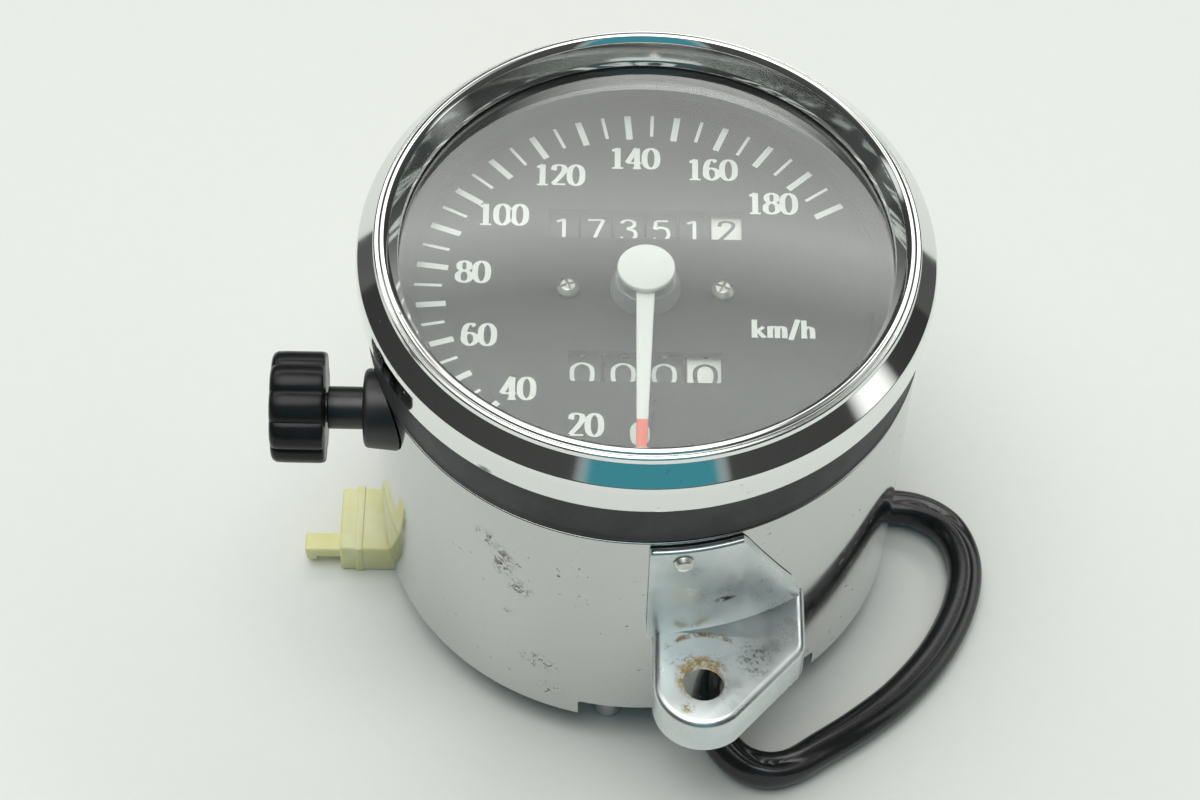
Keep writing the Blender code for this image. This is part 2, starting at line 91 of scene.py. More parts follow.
# %% Camera
PITCH = math.radians(53.97)
ROLL = math.radians(1.593)
YAW = math.radians(-0.753)
look = Vector((0, math.cos(PITCH), -math.sin(PITCH)))
side = Vector((1, 0, 0))
top = side.cross(look)
right = side * math.cos(ROLL) + top * math.sin(ROLL)
up = top * math.cos(ROLL) - side * math.sin(ROLL)
camera_data = bpy.data.cameras.new("camera")
camera_data.lens = 105
camera_data.sensor_width = 36
camera_data.clip_start = 0.01
camera = bpy.data.objects.new("camera", camera_data)
turn = Matrix.Rotation(YAW, 3, "Z") @ Matrix((right, up, -look)).transposed()
camera.matrix_world = Matrix.Translation(spot(-11.04, -336.41, 499.14)) @ turn.to_4x4()
bpy.context.scene.collection.objects.link(camera)
bpy.context.scene.camera = camera
print("camera", [round(v, 4) for v in camera.location])

# %% [markdown]
# Every piece needs the same four things: an object in the scene, a finish, a body to ride on, and
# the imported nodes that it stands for. One small helper does them all, so that each later cell is
# only about shape.

# %% Placing pieces
def put(name, mesh, finish, body, nodes=(), slot=None, smooth=30):
    """Adds a finished piece. smooth is the angle in degrees above which an edge stays sharp."""
    made = bpy.data.objects.new(name, mesh)
    bpy.context.scene.collection.objects.link(made)
    mesh.materials.append(finish)
    if isinstance(mesh, bpy.types.Mesh) and smooth:
        for face in mesh.polygons:
            face.use_smooth = True
        mesh.set_sharp_from_angle(angle=math.radians(smooth))
    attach(made, body)
    if nodes:
        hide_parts(*nodes)
    return made


def mesh_of(bm, name):
    mesh = bpy.data.meshes.new(name)
    bmesh.ops.recalc_face_normals(bm, faces=bm.faces)
    bm.to_mesh(mesh)
    bm.free()
    return mesh


# %% [markdown]
# Spun metal, moulded rubber and turned shafts are all solids of revolution. A profile of corners,
# each with its own radius, is how a toolmaker would draw one. The helper below rounds the corners
# with short arcs and spins the line round an axis. A closed profile makes a ring, and an open one
# that starts and ends on the axis makes a solid.

# %% Rounded profiles and the lathe
def rounded(corners, closed=True, steps=5):
    """Corners (r, z) or (r, z, radius) as a line of points, with an arc at each radius."""
    line = []
    count = len(corners)
    for i, corner in enumerate(corners):
        here = Vector(corner[:2])
        radius = corner[2] if len(corner) > 2 else 0
        if not radius or (not closed and i in (0, count - 1)):
            line.append(here)
            continue
        before = (Vector(corners[i - 1][:2]) - here)
        after = (Vector(corners[(i + 1) % count][:2]) - here)
        half = before.angle(after) / 2
        back = min(radius / math.tan(half), before.length * 0.49, after.length * 0.49)
        start = here + before.normalized() * back
        end = here + after.normalized() * back
        for step in range(steps + 1):
            t = step / steps
            line.append(start * (1 - t) ** 2 + here * 2 * t * (1 - t) + end * t * t)
    return line


def turned(line, closed, steps):
    """Spins a line of points in millimetres about Z."""
    bm = bmesh.new()
    verts = [bm.verts.new((p.x * MM, 0, p.y * MM)) for p in line]
    edges = [bm.edges.new(pair) for pair in zip(verts, verts[1:])]
    if closed:
        edges.append(bm.edges.new((verts[-1], verts[0])))
    spun = {"cent": (0, 0, 0), "axis": (0, 0, 1), "angle": 2 * math.pi, "steps": steps}
    bmesh.ops.spin(bm, geom=verts + edges, **spun)
    bmesh.ops.remove_doubles(bm, verts=bm.verts, dist=0.000002)
    return bm


def lathe(name, corners, finish, body, nodes=(), at=(0, 0, 0), along="Z", steps=160, smooth=30, **extra):
    """Spins a profile in millimetres about Z, or about X where along says so."""
    closed = corners[0][0] > 0
    bm = turned(rounded(corners, closed), closed, steps)
    if along == "X":
        bmesh.ops.rotate(bm, verts=bm.verts, cent=(0, 0, 0), matrix=Matrix.Rotation(math.pi / 2, 3, "Y"))
    bmesh.ops.translate(bm, verts=bm.verts, vec=spot(*at))
    return put(name, mesh_of(bm, name), finish, body, nodes, smooth=smooth, **extra)


print("lathe ready")

# %% [markdown]
# A finish is one Principled shader with the wear that the real surface has. Three things do most
# of the work: a noise that moves the roughness a little, a fine bump, and where the surface is old,
# pits or stains. The helper makes the shader and hands back its nodes, so that each finish only
# adds what is special about it.

# %% Finish helpers
def finish(name, colour, roughness, metallic=0.0, **constants):
    made = bpy.data.materials.new(name)
    made.use_nodes = True
    shader = made.node_tree.nodes["Principled BSDF"]
    shader.inputs["Base Color"].default_value = (*colour, 1)
    shader.inputs["Roughness"].default_value = roughness
    shader.inputs["Metallic"].default_value = metallic
    for socket, value in constants.items():
        shader.inputs[socket.replace("_", " ")].default_value = value
    return made, made.node_tree, shader


def node(tree, kind, **settings):
    made = tree.nodes.new(kind)
    for key, value in settings.items():
        if hasattr(made, key):
            setattr(made, key, value)
        else:
            made.inputs[key.replace("_", " ")].default_value = value
    return made


def noise(tree, scale, detail=4.0, roughness=0.6, distortion=0.0):
    """A noise in object space; scale is in cycles to the metre."""
    made = node(tree, "ShaderNodeTexNoise", Scale=scale, Detail=detail, Roughness=roughness)
    made.inputs["Distortion"].default_value = distortion
    place = tree.nodes.new("ShaderNodeTexCoord")
    tree.links.new(place.outputs["Object"], made.inputs["Vector"])
    return made.outputs["Fac"]


def between(tree, value, low, high, to_low=0.0, to_high=1.0):
    """Maps value from low..high to to_low..to_high, and holds the ends."""
    made = node(tree, "ShaderNodeMapRange")
    made.inputs["From Min"].default_value = low
    made.inputs["From Max"].default_value = high
    made.inputs["To Min"].default_value = to_low
    made.inputs["To Max"].default_value = to_high
    tree.links.new(value, made.inputs["Value"])
    return made.outputs["Result"]


def blend_colours(tree, amount, first, second):
    """Mixes two colours, or a socket and a colour, by amount."""
    made = node(tree, "ShaderNodeMix", data_type="RGBA")
    tree.links.new(amount, made.inputs["Factor"])
    for index, colour in ((6, first), (7, second)):
        if isinstance(colour, bpy.types.NodeSocket):
            tree.links.new(colour, made.inputs[index])
        else:
            made.inputs[index].default_value = (*colour, 1)
    return made.outputs[2]


def bump(tree, shader, amount, strength, depth_mm):
    made = node(tree, "ShaderNodeBump", Strength=strength)
    made.inputs["Distance"].default_value = depth_mm * MM
    tree.links.new(amount, made.inputs["Height"])
    tree.links.new(made.outputs["Normal"], shader.inputs["Normal"])
    return made


print("finish helpers ready")

# %% [markdown]
# Chrome is nearly a mirror, so its look is mostly the room. What makes it old is small: freckles
# where the plate has lifted, a faint cloudiness, and a slow waviness from spinning the sheet. The
# freckles come from a fine noise, cut so that only its peaks are left. Knocks and rubs are each in
# one place, so the helper takes a list of lumps, and a noise breaks each one up.

# %% Chrome
def near(tree, centre, inner, outer, spread=(1, 1, 1)):
    """One inside a soft lump about a point in millimetres, and nought outside it."""
    place = tree.nodes.new("ShaderNodeTexCoord")
    shift = node(tree, "ShaderNodeVectorMath", operation="SUBTRACT")
    tree.links.new(place.outputs["Object"], shift.inputs[0])
    shift.inputs[1].default_value = spot(*centre)
    scaled = node(tree, "ShaderNodeVectorMath", operation="DIVIDE")
    tree.links.new(shift.outputs[0], scaled.inputs[0])
    scaled.inputs[1].default_value = spread
    size = node(tree, "ShaderNodeVectorMath", operation="LENGTH")
    tree.links.new(scaled.outputs[0], size.inputs[0])
    return between(tree, size.outputs["Value"], inner * MM, outer * MM, 1, 0)


def combined(tree, operation, first, second):
    made = node(tree, "ShaderNodeMath", operation=operation)
    tree.links.new(first, made.inputs[0])
    tree.links.new(second, made.inputs[1])
    return made.outputs[0]


def chrome(name, tone, pits, cloud, marks):
    """marks are (centre, radius, spread, how solid) in millimetres."""
    colour = (tone, tone * 1.015, tone * 1.005)
    made, tree, shader = finish(name, colour, 0.06, 1.0)
    freckle = between(tree, noise(tree, 900, 3, 0.55), 0.66 - pits * 0.06, 0.74 - pits * 0.05)
    where = between(tree, noise(tree, 42, 3, 0.6), 0.48, 0.66)
    spots = combined(tree, "MULTIPLY", freckle, where)
    streaks = noise(tree, 800, 5, 0.7, 1.5)
    for centre, radius, spread, solid in marks:
        lump = near(tree, centre, radius * 0.3, radius, spread)
        broken = between(tree, streaks, 0.60 - solid * 0.25, 0.66 - solid * 0.25)
        spots = combined(tree, "MAXIMUM", spots, combined(tree, "MULTIPLY", lump, broken))
    haze = between(tree, noise(tree, 60, 5, 0.65), 0.35, 0.75, 0.05, 0.05 + cloud)
    rough = node(tree, "ShaderNodeMath", operation="MULTIPLY_ADD")
    tree.links.new(spots, rough.inputs[0])
    rough.inputs[1].default_value = 0.5
    tree.links.new(haze, rough.inputs[2])
    tree.links.new(rough.outputs[0], shader.inputs["Roughness"])
    tree.links.new(blend_colours(tree, spots, colour, (0.17, 0.16, 0.13)), shader.inputs["Base Color"])
    bump(tree, shader, noise(tree, 35, 2, 0.5), 0.15, 0.25)
    return made


BEZEL_CHROME = chrome("bezel_chrome", 0.83, 0.25, 0.05, [((-23.6, -37.7, 70.9), 1.9, (1, 0.7, 0.45), 1.0)])
COVER_MARKS = [
    ((-24.0, -36.0, 50.0), 2.8, (1, 0.8, 1.0), 0.25),
    ((-21.4, -37.6, 45.5), 4.2, (0.7, 0.5, 1.2), 0.45),
    ((-19.0, -39.0, 39.8), 3.2, (1.0, 0.6, 1.0), 0.35),
    ((-20.9, -37.8, 31.7), 1.2, (1.3, 1.0, 0.6), 0.5),
    ((-16.0, -40.2, 20.0), 3.4, (1.4, 1.0, 0.8), 0.30),
    ((-13.9, -40.9, 12.7), 3.4, (1.5, 1.0, 0.8), 0.15),
    ((0.2, -43.2, 28.5), 3.0, (1.3, 1.0, 0.5), 0.05),
]
COVER_CHROME = chrome("cover_chrome", 0.58, 0.15, 0.12, COVER_MARKS)
print("chrome:", BEZEL_CHROME.name, COVER_CHROME.name)

# %% [markdown]
# Rubber and black mouldings differ in how they take light. The band is dry and dusty, with a
# broad sheen and no mirror in it. The knob and the collar are tighter, and the harness sleeve is
# soft vinyl with a wet-looking gloss.

# %% Rubber and black mouldings
def moulding(name, colour, dusty, low, high, grain, depth, **constants):
    """Rubber or plastic: roughness from low to high, and a grain of so many cycles to the metre."""
    made, tree, shader = finish(name, colour, low, **constants)
    dust = between(tree, noise(tree, 120, 6, 0.7), 0.35, 0.75)
    tree.links.new(blend_colours(tree, dust, colour, dusty), shader.inputs["Base Color"])
    tree.links.new(between(tree, noise(tree, 70, 4), 0.3, 0.7, low, high), shader.inputs["Roughness"])
    bump(tree, shader, noise(tree, grain, 5), 0.4, depth)
    return made


BAND_RUBBER = moulding("band_rubber", (0.030, 0.031, 0.034), (0.060, 0.061, 0.064), 0.50, 0.66, 2500, 0.03)
COLLAR_RUBBER = moulding("collar_rubber", (0.012, 0.012, 0.013), (0.03, 0.03, 0.03), 0.35, 0.5, 1800, 0.03)
KNOB_BLACK = moulding(
    "knob_black", (0.008, 0.008, 0.009), (0.016, 0.016, 0.016), 0.20, 0.32, 1500, 0.02,
    Specular_IOR_Level=0.2
)
SLEEVE_VINYL = moulding("sleeve_vinyl", (0.010, 0.010, 0.012), (0.024, 0.023, 0.023), 0.16, 0.32, 700, 0.06)
CASE_BLACK = moulding("case_black", (0.014, 0.014, 0.015), (0.03, 0.03, 0.03), 0.35, 0.5, 1500, 0.02)
print("mouldings ready")

# %% [markdown]
# The cover is a drawn can with a turned-in lower rim. It tapers by under a millimetre, and its rim
# has a shallow notch so that the harness can leave. Its wall is sheet metal, so the profile is a
# thin ring with small radii, and the notch is a Boolean cut, as a press would make it.

# %% Cover
COVER_TOP = height("outer_cover")
COVER_RIM = height("outer_cover", False)
cover = lathe(
    "cover_shell",
    [
        (42.6, COVER_TOP, 0.3), (43.6, COVER_TOP, 0.4), (43.0, 18.0, 30), (42.9, 10.0, 3),
        (42.8, COVER_RIM, 0.4),
        (41.9, COVER_RIM, 0.3), (41.8, 13.0), (8.2, 13.0), (8.2, 14.2), (41.9, 14.2),
    ],
    COVER_CHROME, "gauge", ["outer_cover"], steps=256, slot="chrome",
)


def cutter(name, mesh):
    """A tool for a Boolean. It is removed once the cut is made."""
    made = bpy.data.objects.new(name, mesh)
    bpy.context.scene.collection.objects.link(made)
    return made


def box_mesh(name, low, high, bevel=0.0):
    """A box between two corners in millimetres, with all its edges rounded by bevel."""
    bm = bmesh.new()
    bmesh.ops.create_cube(bm, size=1)
    size = [(b - a) for a, b in zip(low, high)]
    middle = [(a + b) / 2 for a, b in zip(low, high)]
    for vert in bm.verts:
        vert.co = spot(*[m + s * c for m, s, c in zip(middle, size, vert.co)])
    if bevel:
        bmesh.ops.bevel(bm, geom=bm.edges[:], offset=bevel * MM, segments=3, profile=0.5, affect="EDGES")
    return mesh_of(bm, name)


def rod_mesh(name, radius, low, high, middle=(0, 0, 0), along=(0, 0, 1), sides=48):
    """A cylinder in millimetres from low to high along a direction, through middle."""
    bm = bmesh.new()
    bmesh.ops.create_cone(
        bm, cap_ends=True, segments=sides, radius1=radius * MM, radius2=radius * MM, depth=(high - low) * MM
    )
    way = Vector(along).normalized()
    bmesh.ops.rotate(bm, verts=bm.verts, cent=(0, 0, 0), matrix=way.to_track_quat("Z", "Y").to_matrix())
    bmesh.ops.translate(bm, verts=bm.verts, vec=spot(*middle) + way * (low + high) / 2 * MM)
    return mesh_of(bm, name)


def carve(target, *tools, operation="DIFFERENCE", smooth=30):
    """Applies exact Booleans, and shades the result again."""
    for tool in tools:
        cut = target.modifiers.new("cut", "BOOLEAN")
        cut.solver = "EXACT"
        cut.operation = operation
        cut.object = tool
    shaped = bpy.data.meshes.new_from_object(target.evaluated_get(bpy.context.evaluated_depsgraph_get()))
    target.modifiers.clear()
    target.data = shaped
    for face in shaped.polygons:
        face.use_smooth = True
    shaped.set_sharp_from_angle(angle=math.radians(smooth))
    for tool in tools:
        bpy.data.objects.remove(tool)
    return target


RESET_LOW, RESET_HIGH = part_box("reset_knob")
RESET_Y = (RESET_LOW.y + RESET_HIGH.y) / 2 / MM - AXIS.y / MM
RESET_Z = (RESET_LOW.z + RESET_HIGH.z) / 2 / MM
notch = cutter("notch_tool", box_mesh("notch_tool", (-9.4, -50, 4), (29, -30, 11), 0.6))
knob_hole = cutter("knob_hole", rod_mesh("knob_hole", 4.9, -50, -35, (0, RESET_Y, RESET_Z), (1, 0, 0)))
carve(cover, notch, knob_hole)
print("cover faces", len(cover.data.polygons), "reset axis y,z", round(RESET_Y, 2), round(RESET_Z, 2))

# %% [markdown]
# The rubber band seals the joint between the cover and the bezel. It is a plain moulding with a
# thin lip at each edge, where it is squeezed against the metal.

# %% Band
BAND_LOW = height("band_seal", False)
BAND_TOP = height("band_seal")
lathe(
    "rubber_band",
    [
        (41.2, BAND_TOP), (43.3, BAND_TOP, 0.3), (43.75, BAND_TOP - 0.5, 0.3), (43.6, BAND_TOP - 1.4, 0.5),
        (43.6, BAND_LOW + 1.5, 0.5), (43.8, BAND_LOW + 0.7, 0.35), (43.4, BAND_LOW, 0.3), (41.2, BAND_LOW),
    ],
    BAND_RUBBER, "gauge", ["band_seal"], steps=192, slot="rubber",
)
print("band", round(BAND_LOW, 2), "to", round(BAND_TOP, 2))

# %% [markdown]
# The bezel is the finest piece of spinning on the gauge. From the inside out it has a sloping
# inner wall, a round bright crest, a thin groove, a small bead, a shoulder at 45 degrees and an
# upright skirt. The shoulder mirrors the dim part of the room, and so it shows as a dark ring. Each
# of those edges catches its own line of light, so each has its own corner and radius here.

# %% Bezel
CREST = height("bezel")
bezel = lathe(
    "chrome_bezel",
    [
        (38.4, CREST - 5.2, 0.2), (38.5, CREST - 4.0, 0.8), (39.75, CREST - 0.8, 0.8),
        (40.6, CREST + 0.05, 0.9),
        (41.35, CREST - 0.25, 0.5), (41.5, CREST - 0.95, 0.12), (41.7, CREST - 1.0, 0.12),
        (41.8, CREST - 0.7, 0.15), (42.1, CREST - 0.95, 0.2), (42.2, CREST - 1.75, 0.15),
        (44.75, CREST - 4.5, 0.6), (45.0, CREST - 5.4, 0.5), (45.0, CREST - 9.9, 0.4),
        (44.9, CREST - 10.2, 0.15),
        (44.2, CREST - 10.2, 0.2), (44.1, CREST - 5.8, 0.6), (41.6, CREST - 3.0, 1),
        (40.6, CREST - 2.4, 0.4),
        (39.8, CREST - 3.4, 0.4), (39.8, CREST - 5.2),
    ],
    BEZEL_CHROME, "gauge", ["bezel"], steps=256, slot="chrome", smooth=40,
)
print("bezel faces", len(bezel.data.polygons))

# %% [markdown]
# The glass is flat. A full glass shader would put the dial in shadow, because light that bends
# through glass is slow to find. A thin clear sheet doesn't need it: most of the light goes straight
# through, and what the eye sees is the gloss on top. So the finish is a clear shader mixed with a
# little mirror, and with a trace of dust that is only there in places.

# %% Glass
def clear_sheet(name, tint, dust_amount, mirror=0.08):
    made = bpy.data.materials.new(name)
    made.use_nodes = True
    tree = made.node_tree
    tree.nodes.remove(tree.nodes["Principled BSDF"])
    clear = node(tree, "ShaderNodeBsdfTransparent", Color=(*tint, 1))
    gloss = node(tree, "ShaderNodeBsdfGlossy", Color=(1, 1, 1, 1), Roughness=0.02)
    sheet = node(tree, "ShaderNodeMixShader")
    sheet.inputs[0].default_value = mirror
    tree.links.new(clear.outputs[0], sheet.inputs[1])
    tree.links.new(gloss.outputs[0], sheet.inputs[2])
    haze = node(tree, "ShaderNodeBsdfDiffuse", Color=(0.75, 0.75, 0.74, 1))
    dusty = node(tree, "ShaderNodeMixShader")
    amount = between(tree, noise(tree, 90, 7, 0.7), 0.35, 0.8, dust_amount * 0.4, dust_amount)
    tree.links.new(amount, dusty.inputs[0])
    tree.links.new(sheet.outputs[0], dusty.inputs[1])
    tree.links.new(haze.outputs[0], dusty.inputs[2])
    tree.links.new(dusty.outputs[0], tree.nodes["Material Output"].inputs["Surface"])
    return made


LENS_CLEAR = clear_sheet("lens_clear", (0.97, 0.985, 0.98), 0.03)
GLASS_TOP = height("lens")
GLASS_LOW = height("lens", False)
lathe(
    "dial_glass", [(0, GLASS_TOP), (40.9, GLASS_TOP, 0.3), (40.9, GLASS_LOW, 0.3), (0, GLASS_LOW)],
    LENS_CLEAR, "gauge", ["lens"], steps=128, slot="glass",
)
print("glass", round(GLASS_LOW, 2), "to", round(GLASS_TOP, 2))

# %% [markdown]
# Under the glass sit a black rubber gasket and a black ring that hides the edge of the dial. The
# ring slopes inwards and then drops to the face, so it makes the dark well that the dial lies in.

# %% Gasket and dial ring
DIAL_TOP = height("dial_plate")
GASKET_LOW = height("lens_gasket", False)
lathe(
    "glass_gasket",
    [(38.0, GLASS_LOW - 0.3, 0.2), (39.8, GLASS_LOW - 0.3), (39.8, GASKET_LOW), (38.0, GASKET_LOW, 0.2)],
    COLLAR_RUBBER, "gauge", ["lens_gasket"], steps=160, slot="rubber",
)
DIAL_PAINT = moulding(
    "dial_paint", (0.010, 0.011, 0.011), (0.016, 0.017, 0.017), 0.5, 0.62, 4000, 0.01,
    Specular_IOR_Level=0.2
)
lathe(
    "dial_well",
    [
        (38.2, GASKET_LOW - 0.3, 0.2), (39.8, GASKET_LOW - 0.3), (39.8, DIAL_TOP + 0.3),
        (37.3, DIAL_TOP + 0.3),
        (37.1, 69.4, 0.3), (36.3, 69.8, 0.2), (36.2, 70.4, 0.3),
    ],
    DIAL_PAINT, "gauge", ["dial_ring"], steps=160, slot="dial_black",
)
frame["nodes"]["dial_plate"].data.materials.clear()
frame["nodes"]["dial_plate"].data.materials.append(DIAL_PAINT)
print("dial face at", round(DIAL_TOP, 2))

# %% [markdown]
# Printing is a thin film of ink. Every figure on the gauge, on the dial and on the number wheels,
# comes from the same few centre lines, drawn in a box one unit high. A broad pen makes them: on the
# dial an upright stroke is thick and a level one is thin, as in an old book face, and on the wheels
# the pen keeps one width.

# %% Figures as centre lines
LINES = {
    "0": [("loop", [(0.30, 0.97), (0.09, 0.76), (0.09, 0.24), (0.30, 0.03), (0.51, 0.24), (0.51, 0.76)])],
    "1": [("line", [(0.32, 0.98), (0.32, 0.02)]), ("line", [(0.12, 0.84), (0.33, 0.96)])],
    "2": [
        ("curve", [
            (0.10, 0.72), (0.15, 0.91), (0.30, 0.97), (0.47, 0.90), (0.49, 0.70), (0.34, 0.42), (0.08, 0.07),
        ]),
        ("line", [(0.07, 0.06), (0.54, 0.06)]),
    ],
    "3": [
        ("curve", [(0.10, 0.80), (0.18, 0.94), (0.32, 0.97), (0.46, 0.86), (0.44, 0.65), (0.26, 0.54)]),
        ("curve", [(0.26, 0.54), (0.46, 0.44), (0.50, 0.22), (0.36, 0.05), (0.20, 0.04), (0.08, 0.17)]),
    ],
    "4": [("line", [(0.40, 0.98), (0.05, 0.28), (0.57, 0.28)]), ("line", [(0.41, 0.98), (0.41, 0.02)])],
    "5": [
        ("line", [(0.50, 0.95), (0.16, 0.95), (0.12, 0.54)]),
        ("curve", [
            (0.12, 0.54), (0.28, 0.62), (0.46, 0.54), (0.51, 0.32), (0.44, 0.11), (0.26, 0.03), (0.08, 0.14),
        ]),
    ],
    "6": [
        ("curve", [(0.47, 0.87), (0.35, 0.97), (0.20, 0.90), (0.11, 0.66), (0.10, 0.34), (0.15, 0.12)]),
        ("loop", [(0.30, 0.57), (0.12, 0.46), (0.10, 0.22), (0.30, 0.03), (0.51, 0.19), (0.50, 0.44)]),
    ],
    "7": [("line", [(0.07, 0.95), (0.52, 0.95), (0.24, 0.02)])],
    "8": [
        ("loop", [(0.30, 0.97), (0.14, 0.87), (0.14, 0.65), (0.30, 0.54), (0.46, 0.65), (0.46, 0.87)]),
        ("loop", [(0.30, 0.54), (0.10, 0.41), (0.10, 0.15), (0.30, 0.03), (0.50, 0.15), (0.50, 0.41)]),
    ],
    "9": [
        ("curve", [(0.13, 0.13), (0.25, 0.03), (0.40, 0.10), (0.50, 0.34), (0.51, 0.66), (0.46, 0.88)]),
        ("loop", [(0.30, 0.97), (0.10, 0.81), (0.10, 0.56), (0.30, 0.43), (0.49, 0.54), (0.51, 0.80)]),
    ],
    "k": [
        ("line", [(0.16, 1.00), (0.16, 0.02)]), ("line", [(0.20, 0.28), (0.50, 0.60)]),
        ("line", [(0.28, 0.36), (0.52, 0.02)]),
    ],
    "m": [
        ("line", [(0.14, 0.64), (0.14, 0.02)]),
        ("curve", [(0.14, 0.48), (0.26, 0.62), (0.38, 0.56), (0.41, 0.40), (0.41, 0.02)]),
        ("curve", [(0.41, 0.48), (0.53, 0.62), (0.65, 0.56), (0.68, 0.40), (0.68, 0.02)]),
    ],
    "/": [("line", [(0.06, -0.10), (0.34, 1.04)])],
    "h": [
        ("line", [(0.16, 1.00), (0.16, 0.02)]),
        ("curve", [(0.16, 0.46), (0.29, 0.62), (0.43, 0.56), (0.47, 0.40), (0.47, 0.02)]),
    ],
}
FEET = {
    "1": [(0.12, 0.52, 0.03)], "4": [(0.26, 0.56, 0.03)], "k": [(0.05, 0.30, 0.03), (0.40, 0.60, 0.03)],
    "m": [(0.04, 0.25, 0.03), (0.31, 0.51, 0.03), (0.58, 0.78, 0.03)],
    "h": [(0.05, 0.28, 0.03), (0.36, 0.58, 0.03)],
}
WIDTHS = {"m": 0.84, "/": 0.40, "k": 0.60, "h": 0.62}
print("figures:", "".join(LINES))

# %% [markdown]
# A pen stroke is a ribbon: two edges either side of a centre line. The helper smooths the line,
# works out the width at each point from the way the pen is going, and lays quads between the
# edges. It asks a function where each flat point goes, so the same stroke lies on a flat dial or
# round a wheel. Straight strokes are cut into short lengths so that they can bend round a wheel,
# and each stroke of a figure lies a hair above the last, so that no two share a surface.

# %% The pen
def through(points, closed, per_span=6):
    """A smooth line through points."""
    count = len(points)
    line = []
    for i in range(count if closed else count - 1):
        if closed:
            a, b, c, d = (Vector(points[(i + k) % count]) for k in (-1, 0, 1, 2))
        else:
            b, c = Vector(points[i]), Vector(points[i + 1])
            a = Vector(points[i - 1]) if i else 2 * b - c
            d = Vector(points[i + 2]) if i + 2 < count else 2 * c - b
        for step in range(per_span):
            t = step / per_span
            bend = (2 * a - 5 * b + 4 * c - d) * t * t + (3 * b - a - 3 * c + d) * t ** 3
            line.append(b + ((c - a) * t + bend) / 2)
    if not closed:
        line.append(Vector(points[-1]))
    return line


def ribbon(bm, line, closed, thick, thin, where, lift=0.0):
    """Quads along a line of flat points. where(x, y, lift) gives the place of a flat point."""
    count = len(line)
    pairs = []
    for i, point in enumerate(line):
        ahead = line[(i + 1) % count] if closed or i + 1 < count else point
        behind = line[i - 1] if closed or i else point
        way = (ahead - behind).normalized()
        wide = thin + (thick - thin) * abs(way.y) ** 1.6
        out = Vector((-way.y, way.x)) * wide / 2
        pairs.append([bm.verts.new(where(*(point + side), lift)) for side in (out, -out)])
    for i in range(count if closed else count - 1):
        a, b = pairs[i], pairs[(i + 1) % count]
        bm.faces.new((a[0], a[1], b[1], b[0]))


def write(bm, text, size, thick, thin, where, feet=False):
    """Writes text centred on the flat point (0, 0), in millimetres."""
    advance = [WIDTHS.get(sign, 0.62) for sign in text]
    pen = -sum(advance) / 2
    for sign, wide in zip(text, advance):
        strokes = list(LINES[sign])
        if feet:
            strokes += [("line", [(a, y), (b, y)]) for a, b, y in FEET.get(sign, [])]
        for order, (kind, points) in enumerate(strokes):
            flat = [Vector(((pen + x) * size, (y - 0.5) * size)) for x, y in points]
            lift = 0.008 * order
            if kind == "line":
                for a, b in zip(flat, flat[1:]):
                    ribbon(bm, [a.lerp(b, i / 8) for i in range(9)], False, thick, thin, where, lift)
                    lift += 0.003
            else:
                ribbon(bm, through(flat, kind == "loop"), kind == "loop", thick, thin, where, lift)
        pen += wide


def ink(name, colour):
    made, tree, shader = finish(name, colour, 0.5)
    worn = between(tree, noise(tree, 700, 5, 0.7), 0.30, 0.42, 0.75, 1.0)
    shade = blend_colours(tree, worn, tuple(c * 0.6 for c in colour), colour)
    tree.links.new(shade, shader.inputs["Base Color"])
    bump(tree, shader, noise(tree, 2500, 3), 0.2, 0.01)
    return made


WHITE_INK = ink("white_ink", (0.80, 0.80, 0.77))
BLACK_INK = ink("black_ink", (0.015, 0.015, 0.016))
print("pen ready")

# %% [markdown]
# The speed scale isn't quite even: the first few divisions are squeezed, because the needle hardly
# moves at a crawl. From 20 upwards each unit of speed takes 1.2935 degrees, measured clockwise from
# six o'clock. Long strokes mark every ten and short thin ones every five.

# %% Dial print
INK_Z = DIAL_TOP + 0.03


def dial_angle(speed):
    """Degrees clockwise from six o'clock."""
    if speed < 20:
        return 1.04 + 19.0 * (speed / 20) ** 1.3
    return -5.82 + 1.2935 * speed


def on_dial(x, y, lift=0.0):
    return spot(x, y, INK_Z + lift)


def dial_point(radius, degrees):
    angle = math.radians(degrees)
    return Vector((-radius * math.sin(angle), -radius * math.cos(angle)))


bm = bmesh.new()
for speed in range(0, 195, 5):
    long = speed % 10 == 0
    degrees = dial_angle(speed)
    inner = dial_point(31.3 if long else 31.9, degrees)
    outer = dial_point(36.3, degrees)
    width = 1.05 if long else 0.55
    ribbon(bm, [inner, outer], False, width, width, on_dial)
LABEL_R = 27.3
LABEL_ANGLES = {
    0: 1.5, 20: 19.3, 40: 45.6, 60: 71.0, 80: 97.3, 100: 123.7, 120: 149.5, 140: 176.2, 160: 203.0,
    180: 227.8,
}
for speed, degrees in LABEL_ANGLES.items():
    middle = dial_point(LABEL_R, degrees)
    write(
        bm, str(speed), 4.4, 0.95, 0.34,
        lambda x, y, up: on_dial(middle.x + x, middle.y + y, up), feet=True,
    )
write(bm, "km/h", 3.5, 0.72, 0.26, lambda x, y, up: on_dial(21.5 + x * 1.2, -6.8 + y, up), feet=True)
put("dial_print", mesh_of(bm, "dial_print"), WHITE_INK, "gauge", slot="white_plastic", smooth=0)
print("scale from", dial_angle(0), "to", round(dial_angle(190), 1), "degrees")

# %% [markdown]
# The two counters are stacks of wheels, ten figures to each. A wheel is a turned drum with a small
# radius at its edges. Its figures are written round the rim by giving the pen a place function
# that turns height into angle. The last wheel of each counter is white with a black figure.

